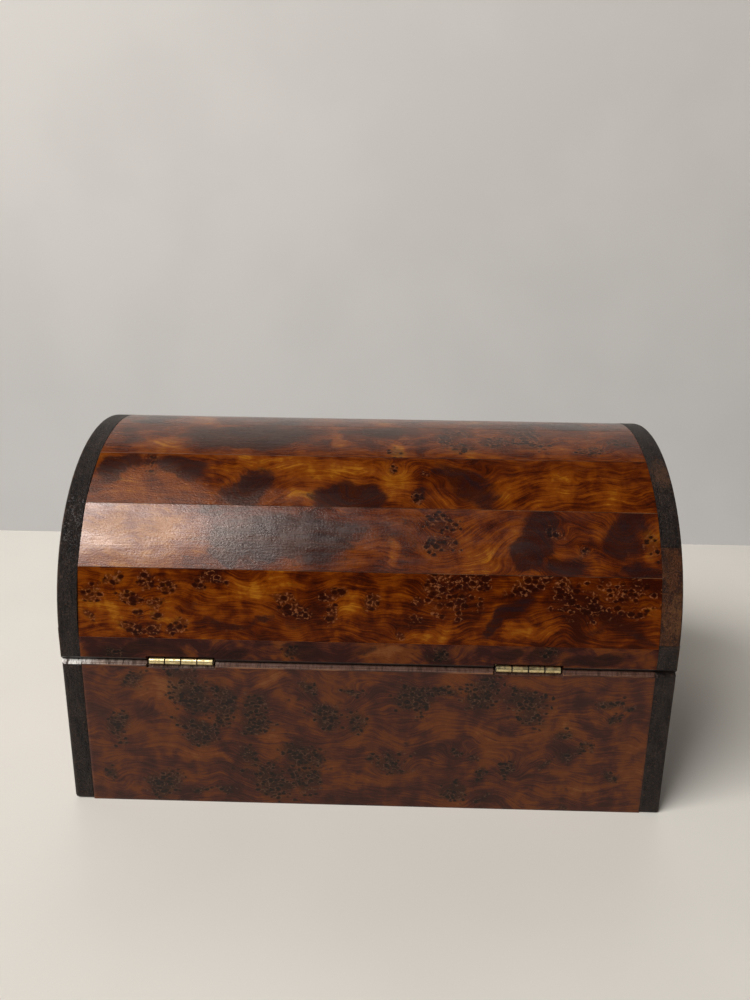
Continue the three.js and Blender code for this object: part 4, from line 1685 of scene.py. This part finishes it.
@dataclass
class DomedLid:
    """The lid: rails, staves, end panels and the edging bands.

    The bands' corner is rounded, the chamfer is cut along the seam, and flatness is the share of the
    way from the dome's curve to a flat face by which the lowest staves are planed.
    """

    stock: Stock
    dome: Dome = field(default_factory=Dome.from_frame)
    cell: float = 1.0 * MM
    joint_line: float = 0.12 * MM
    corner: float = 0.9 * MM
    chamfer: float = 1.5 * MM
    flatness: float = 0.42
    dark_bands: tuple[str, ...] = (
        "left_band_foot",
        "left_band_arch",
        "right_band_foot",
        "right_band_shoulder",
        "right_band_arch",
    )
    bare_bands: tuple[str, ...] = ("right_band_bare_lower", "right_band_bare_upper")

    def build(self) -> None:
        """Builds and dresses every wooden piece of the lid."""
        for number in range(1, STAVES + 1):
            self.build_stave(f"stave_{number}", number)
        for node in self.dark_bands:
            self.build_band(node, Slot.EBONISED)
        for node in self.bare_bands:
            self.build_band(node, Slot.BARE)
        Panel("back_rail", Face.BACK, Body.LID, Slot.BURL_LID, RAIL_FIGURE, Veneer.RAIL).build(self.stock)
        for node, face, seed, lot, tone in (
            ("front_rail", Face.FRONT, 21, Veneer.RAIL, -0.1),
            ("left_end_panel", Face.LEFT, 31, Veneer.LID, 0.05),
            ("right_end_panel", Face.RIGHT, 32, Veneer.LID, 0.05),
        ):
            Panel.unseen(node, face, Body.LID, Slot.BURL_LID, seed, lot, tone).build(self.stock)

    def build_stave(self, node: str, number: int) -> None:
        """Builds a stave.

        Args:
            node: its CAD node.
            number: its place, counted from the back.
        """
        stretch = ArchStretch.from_node(node, self.dome)
        bm = stretch.build(self.cell)
        for line in bevel_edges(bm, sharp_edges(bm, stretch.is_outer), self.joint_line, 1):
            line.material_index = 1
        lot = {1: Veneer.LOWER, 2: Veneer.GLOSSY}.get(min(number, STAVES + 1 - number), Veneer.LID)
        materials = [self.stock.veneers[lot], self.stock.glue]
        piece = Piece(node + "_figured", Body.LID, Slot.BURL_LID, (node,)).finish(bm, materials)
        height = self.dome.radius * (stretch.end - stretch.start) / MM
        width = (stretch.right - stretch.left) / MM
        figure = STAVE_FIGURES.get(node) or seeded_figure(number, width, 0, height)
        figure.paint(piece.data, self.dome.place(points_of(piece.data), stretch.start))
        self.plane_down(piece.data, stretch)

    def plane_down(self, mesh: bpy.types.Mesh, stretch: ArchStretch) -> None:
        """Lowers a stave's outer face part of the way to a flat face, less near the crown.

        Args:
            mesh: the stave's mesh.
            stretch: the stave's place on the dome.
        """
        points = points_of(mesh)
        y, rise = points[:, 1], points[:, 2] - self.dome.spring
        middle, half = (stretch.start + stretch.end) / 2, (stretch.end - stretch.start) / 2
        flat = math.cos(half) / np.cos(np.arctan2(rise, -y) - middle)
        outer = np.hypot(y, rise) > stretch.outer - 2 * self.joint_line
        scale = np.where(outer, 1 - self.flatness * abs(math.cos(middle)) * (1 - flat), 1.0)
        points[:, 1], points[:, 2] = y * scale, self.dome.spring + rise * scale
        mesh.vertices.foreach_set("co", points.ravel())
        mesh.update()

    def build_band(self, node: str, slot: Slot) -> None:
        """Builds a length of the edging that runs over the dome's end.

        Args:
            node: its CAD node.
            slot: its material slot.
        """
        stretch = ArchStretch.from_node(node, self.dome)
        bm = stretch.build(self.cell)
        if stretch.foot > SNAP:
            bottom = self.dome.spring - stretch.foot
            self.cut_seam_chamfer(bm, Vector((0, -self.dome.radius, bottom + self.chamfer)))
        end = max(abs(stretch.left), abs(stretch.right)) - SNAP
        outer_corner = sharp_edges(bm, lambda point: stretch.is_outer(point) and abs(point.x) > end)
        bevel_edges(bm, outer_corner, self.corner, 3)
        bevel_edges(bm, sharp_edges(bm, stretch.is_outer), self.joint_line, 1)
        materials = [self.stock.by_slot[slot], self.stock.painted_shade]
        piece = Piece(node + "_worn", Body.LID, slot, (node,)).finish(bm, materials)
        place = self.dome.place(points_of(piece.data), 0.0)
        Figure(seed=stretch.start + 2.0).paint(piece.data, place[:, [1, 0, 2]])
        corner = worn(end / MM - np.abs(place[:, 0])) * worn(place[:, 2])
        rubbed = flat_topped(BAND_WEAR.get(node, ()), place[:, 1], place[:, 0])
        write_numbers(piece.data, "edge", np.maximum(corner, rubbed))

    @staticmethod
    def cut_seam_chamfer(bm: bmesh.types.BMesh, point: Vector) -> None:
        """Cuts the slanted face along the seam at a foot's back and fills it with near-black painted shade.

        Args:
            bm: the foot's mesh.
            point: a point on the upper line of the cut.
        """
        normal = Vector((0, -1, -1)).normalized()
        rim = of_kind(cut_by_plane(bm, point, normal, cleared=True), bmesh.types.BMEdge)
        # The new face points down and back, and gets the near-black painted shade
        for face in bmesh.ops.edgeloop_fill(bm, edges=rim)["faces"]:
            face.material_index = 1
        bmesh.ops.recalc_face_normals(bm, faces=bm.faces)


@dataclass
class BaseCase:
    """The base: carcass, veneers and corner edging."""

    stock: Stock
    raw_edge: float = 0.25 * MM
    corner: float = 0.9 * MM
    worn_corner: float = 2.0 * MM
    strip_edge: float = 0.12 * MM
    cell: float = 1.0 * MM
    boards: tuple[str, ...] = ("bottom_board", "back_wall", "front_wall", "left_wall", "right_wall")
    edgings: tuple[str, ...] = (
        "back_left_corner_edging",
        "back_right_corner_edging",
        "front_left_corner_edging",
        "front_right_corner_edging",
    )

    def build(self) -> None:
        """Builds and dresses every wooden piece of the base."""
        for node in self.boards:
            refined(node, Body.BASE, Slot.CARCASS, self.stock, self.raw_edge)
        Panel("back_veneer", Face.BACK, Body.BASE, Slot.BURL_BASE, BACK_FIGURE).build(self.stock)
        for node, face, seed in (
            ("front_veneer", Face.FRONT, 41),
            ("left_veneer", Face.LEFT, 42),
            ("right_veneer", Face.RIGHT, 43),
        ):
            Panel.unseen(node, face, Body.BASE, Slot.BURL_BASE, seed, Veneer.BASE).build(self.stock)
        for node in self.edgings:
            self.build_edging(node)

    def build_edging(self, node: str) -> None:
        """Builds a corner strip with its outer corner rounded by wear.

        Args:
            node: its CAD node.
        """
        bm = copy_of(node)
        low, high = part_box(node)
        end, side = max(abs(low.x), abs(high.x)), max(abs(low.y), abs(high.y))
        on_left = low.x < 0
        for face in slanted_faces(bm):
            face.material_index = int(on_left and face.normal.z > 0)

        def at_corner(point: Vector) -> bool:
            """Tells whether a point is on the box's outer vertical corner, or on its foot."""
            outside = (abs(point.x) > end - SNAP, abs(point.y) > side - SNAP)
            return all(outside) or (any(outside) and point.z < SNAP)

        bevel_edges(bm, sharp_edges(bm, at_corner), self.worn_corner if on_left else self.corner, 3)
        bevel_edges(bm, sharp_edges(bm), self.strip_edge, 1)
        cut_lattice(bm, (2,), self.cell)
        cut_lattice(bm, (0, 1), 2 * self.cell)
        materials = [self.stock.by_slot[Slot.EBONISED], self.stock.by_slot[Slot.CARCASS]]
        piece = Piece(node + "_worn", Body.BASE, Slot.EBONISED, (node,)).finish(bm, materials)
        points = points_of(piece.data)
        Figure(seed=3.0 + low.x).paint(piece.data, points[:, [2, 0, 1]] / MM)
        away = (end - np.abs(points[:, 0])) + (side - np.abs(points[:, 1]))
        write_numbers(piece.data, "edge", worn(away / MM))


@dataclass
class Hardware:
    """The two hinges and the lock: brass and steel copies of the CAD nodes with eased edges."""

    stock: Stock
    leaf_edge: float = 0.1 * MM
    knuckle_edge: float = 0.2 * MM
    screw_edge: float = 0.06 * MM
    plate_edge: float = 0.12 * MM
    barrel_slack: float = 0.1 * MM

    def build(self) -> None:
        """Builds every metal piece."""
        for side in ("left", "right"):
            for leaf, body in (("base", Body.BASE), ("lid", Body.LID)):
                self.build_leaf(side, leaf, body)
                for number in (1, 2):
                    screw = f"{side}_hinge_{leaf}_screw_{number}"
                    refined(screw, body, Slot.SCREWS, self.stock, self.screw_edge, 1)
            refined(f"{side}_hinge_pin", Body.BASE, Slot.STEEL, self.stock, self.screw_edge, 1)
        for node, body, slot in (
            ("lock_case", Body.BASE, Slot.BRASS),
            ("keyhole_escutcheon", Body.BASE, Slot.BRASS),
            ("link_plate", Body.LID, Slot.BRASS),
            ("lock_bolt", Body.BOLT, Slot.STEEL),
        ):
            refined(node, body, slot, self.stock, self.plate_edge)
        for node, body in (("lock_screw", Body.BASE), ("link_plate_screw", Body.LID)):
            for number in (1, 2):
                refined(f"{node}_{number}", body, Slot.SCREWS, self.stock, self.screw_edge, 1)

    def build_leaf(self, side: str, leaf: str, body: Body) -> None:
        """Builds a hinge leaf with near-black painted shade on its knuckle ends, in the gaps between the
        knuckles.

        Args:
            side: the side of the box that the hinge is on.
            leaf: the board that the leaf is screwed to.
            body: the body that it rides on.
        """
        node = f"{side}_hinge_{leaf}_leaf"
        low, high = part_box(f"{side}_hinge_pin")
        middle = (low + high) / 2
        barrel = middle.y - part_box(node)[0].y
        bm = copy_of(node)

        def on_barrel(point: Vector) -> bool:
            """Tells whether a point is on the barrel's round outside."""
            return abs(math.hypot(point.y - middle.y, point.z - middle.z) - barrel) < self.barrel_slack

        edges = sharp_edges(bm, on_barrel)
        rims = [edge for edge in edges if abs(edge.verts[0].co.x - edge.verts[1].co.x) < SNAP]
        # The knuckle ends get the near-black painted shade of the gaps
        for rim in bevel_edges(bm, rims, self.knuckle_edge, 1):
            rim.material_index = 1
        bevel_edges(bm, sharp_edges(bm), self.leaf_edge, 1)
        materials = [self.stock.by_slot[Slot.BRASS], self.stock.painted_shade]
        Piece(node + "_fine", body, Slot.BRASS, (node,)).finish(bm, materials)


@dataclass
class Lining:
    """The felt inside: floor and wall in the base, dome and ends in the lid."""

    stock: Stock
    dome: Dome = field(default_factory=Dome.from_frame)
    edge: float = 0.3 * MM
    cell: float = 4.0 * MM

    def build(self) -> None:
        """Builds each felt."""
        floor = refined("floor_lining", Body.BASE, Slot.FELT, self.stock, self.edge)
        wall = refined("wall_lining", Body.BASE, Slot.FELT, self.stock, self.edge)
        self.build_dome_felt()
        for side in ("left", "right"):
            node = f"{side}_end_lining"
            end = refined(node, Body.LID, Slot.FELT, self.stock, self.edge)

    def build_dome_felt(self) -> None:
        """Builds the felt under the dome on a true round."""
        stretch = ArchStretch.from_node("dome_lining", self.dome)
        bm = stretch.build(self.cell)
        felt = [self.stock.by_slot[Slot.FELT]]
        piece = Piece("dome_lining_fine", Body.LID, Slot.FELT, ("dome_lining",)).finish(bm, felt)


@dataclass
class Studio:
    """Table, wall, lamps and camera, in metres."""

    table_half_width: float = 1.6
    table_near: float = -1.8
    table_far: float = 0.27
    table_thickness: float = 0.03
    table_edge: float = 0.003
    table_colour: Colour = (0.81, 0.765, 0.69)
    wall_distance: float = 0.72
    wall_half_width: float = 3.0
    wall_aim: float = 0.25
    wall_low: float = -0.9
    wall_high: float = 1.4
    wall_colour: Colour = (0.715, 0.68, 0.64)
    smear_shade: float = 0.96
    camera_place: tuple[float, float, float] = (0.00756, -0.35392, 0.2123)
    camera_turn_deg: tuple[float, float, float] = (73.843, -0.788, 1.3)
    focal_px: float = 800.0
    picture_height_px: float = 1000.0
    sensor_mm: float = 36.0
    nearest_seen: float = 0.01
    lamp_from: tuple[float, float] = (-50.0, 43.5)
    lamp_distance: float = 3.5
    lamp_size: tuple[float, float] = (2.3, 1.6)
    lamp_power: float = 142.0
    side_lamp_from: tuple[float, float] = (-28.0, 43.0)
    side_lamp_size: tuple[float, float] = (0.4, 0.5)
    side_lamp_power: float = 2.2
    wall_lamp_size: tuple[float, float] = (1.6, 0.15)
    wall_lamp_place: tuple[float, float, float] = (0.15, 0.36, -0.3)
    wall_lamp_power: float = 1.1
    room_light: float = 0.009
    room_colour: Colour = (0.97, 0.98, 1.0)
    backdrop_level: float = 0.6

    def build(self) -> None:
        """Builds the whole studio."""
        self.build_table()
        self.build_wall()
        self.build_light()
        self.build_camera()

    def matte(self, name: str, colour: Colour, roughness: float, specular: float) -> bpy.types.Material:
        """Makes a plain studio surface with a faint unevenness.

        Args:
            name: the material's name.
            colour: its colour.
            roughness: its roughness.
            specular: its specular level.

        Returns:
            The material.
        """
        material, graph, surface = new_surface(name)
        smears = graph.step(graph.noise(graph.object_place(), scale=0.006, detail=3.0), 0.35, 0.65)
        shade = tuple(self.smear_shade * value for value in colour)
        graph.feed(surface.inputs["Base Color"], graph.mix(smears, colour, shade))
        surface.inputs["Roughness"].default_value = roughness
        surface.inputs["Specular IOR Level"].default_value = specular
        return material

    def build_table(self) -> None:
        """Builds the white table."""
        bm = bmesh.new()
        depth = self.table_far - self.table_near
        middle = Vector((0, (self.table_far + self.table_near) / 2, -self.table_thickness / 2))
        size = Matrix.Diagonal((2 * self.table_half_width, depth, self.table_thickness, 1))
        bmesh.ops.create_cube(bm, size=1, matrix=Matrix.Translation(middle) @ size)
        bevel_edges(bm, sharp_edges(bm), self.table_edge, 3)
        self.stage("table", bm, self.matte("white_table", self.table_colour, 0.3, 0.4))

    def build_wall(self) -> None:
        """Builds the pale wall behind the table."""
        bm = bmesh.new()
        height = self.wall_high - self.wall_low
        middle = Vector((0, self.wall_distance, (self.wall_high + self.wall_low) / 2))
        size = Matrix.Diagonal((2 * self.wall_half_width, height, 1, 1))
        place = Matrix.Translation(middle) @ Matrix.Rotation(math.radians(90), 4, "X") @ size
        bmesh.ops.create_grid(bm, x_segments=1, y_segments=1, size=0.5, matrix=place)
        self.stage("wall", bm, self.matte("pale_wall", self.wall_colour, 0.9, 0.2))

    @staticmethod
    def stage(name: str, bm: bmesh.types.BMesh, material: bpy.types.Material) -> None:
        """Makes a studio object.

        Args:
            name: its name.
            bm: its mesh, which is freed.
            material: its material.
        """
        mesh = bpy.data.meshes.new(name)
        bm.to_mesh(mesh)
        bm.free()
        mesh.materials.append(material)
        piece = bpy.data.objects.new(name, mesh)
        bpy.context.scene.collection.objects.link(piece)
        log.info("%s: %d faces in the studio", name, len(mesh.polygons))

    def build_light(self) -> None:
        """Builds the room's even light and hangs the three lamps."""
        world = bpy.data.worlds.new("room")
        world.use_nodes = True
        graph = Graph(world.node_tree)
        background = world.node_tree.nodes["Background"]
        graph.feed(background.inputs["Color"], self.room_colour)
        seen = graph.add("ShaderNodeLightPath").outputs["Is Camera Ray"]
        extra = self.backdrop_level - self.room_light
        graph.feed(background.inputs["Strength"], graph.math("MULTIPLY_ADD", seen, extra, self.room_light))
        bpy.context.scene.world = world
        for name, aim, size, power in (
            ("window_lamp", self.lamp_from, self.lamp_size, self.lamp_power),
            ("side_lamp", self.side_lamp_from, self.side_lamp_size, self.side_lamp_power),
        ):
            azimuth, height = (math.radians(value) for value in aim)
            level = math.cos(height)
            towards = Vector((math.sin(azimuth) * level, -math.cos(azimuth) * level, math.sin(height)))
            self.hang_lamp(name, size, power, towards * self.lamp_distance, towards)
        below = Vector(self.wall_lamp_place)
        aim = Vector((below.x, self.wall_distance, self.wall_aim))
        self.hang_lamp("wall_lamp", self.wall_lamp_size, self.wall_lamp_power, below, below - aim)

    @staticmethod
    def hang_lamp(
        name: str, size: tuple[float, float], power: float, place: Vector, backwards: Vector
    ) -> None:
        """Hangs an area lamp.

        Args:
            name: its name.
            size: its width and height.
            power: its power in watts.
            place: where it hangs.
            backwards: the direction that its light comes from.
        """
        lamp = bpy.data.lights.new(name, "AREA")
        lamp.shape = "RECTANGLE"
        lamp.size, lamp.size_y = size
        lamp.energy = power
        holder = bpy.data.objects.new(name, lamp)
        holder.location = place
        holder.rotation_euler = backwards.to_track_quat("Z", "Y").to_euler()
        bpy.context.scene.collection.objects.link(holder)

    def build_camera(self) -> None:
        """Sets the camera where the photograph was taken from."""
        camera = bpy.data.cameras.new("camera")
        camera.sensor_width = self.sensor_mm
        camera.lens = self.focal_px / self.picture_height_px * self.sensor_mm
        camera.clip_start = self.nearest_seen
        holder = bpy.data.objects.new("camera", camera)
        holder.location = self.camera_place
        holder.rotation_euler = [math.radians(value) for value in self.camera_turn_deg]
        bpy.context.scene.collection.objects.link(holder)
        bpy.context.scene.camera = holder
        bpy.context.scene.view_settings.view_transform = "Standard"


def main() -> None:
    """Builds the box and the studio."""
    logging.basicConfig(level=logging.INFO, format="%(name)s %(message)s")
    Studio().build()
    stock = Stock.make()
    BaseCase(stock).build()
    DomedLid(stock).build()
    Hardware(stock).build()
    Lining(stock).build()


if __name__ == "__main__":
    main()
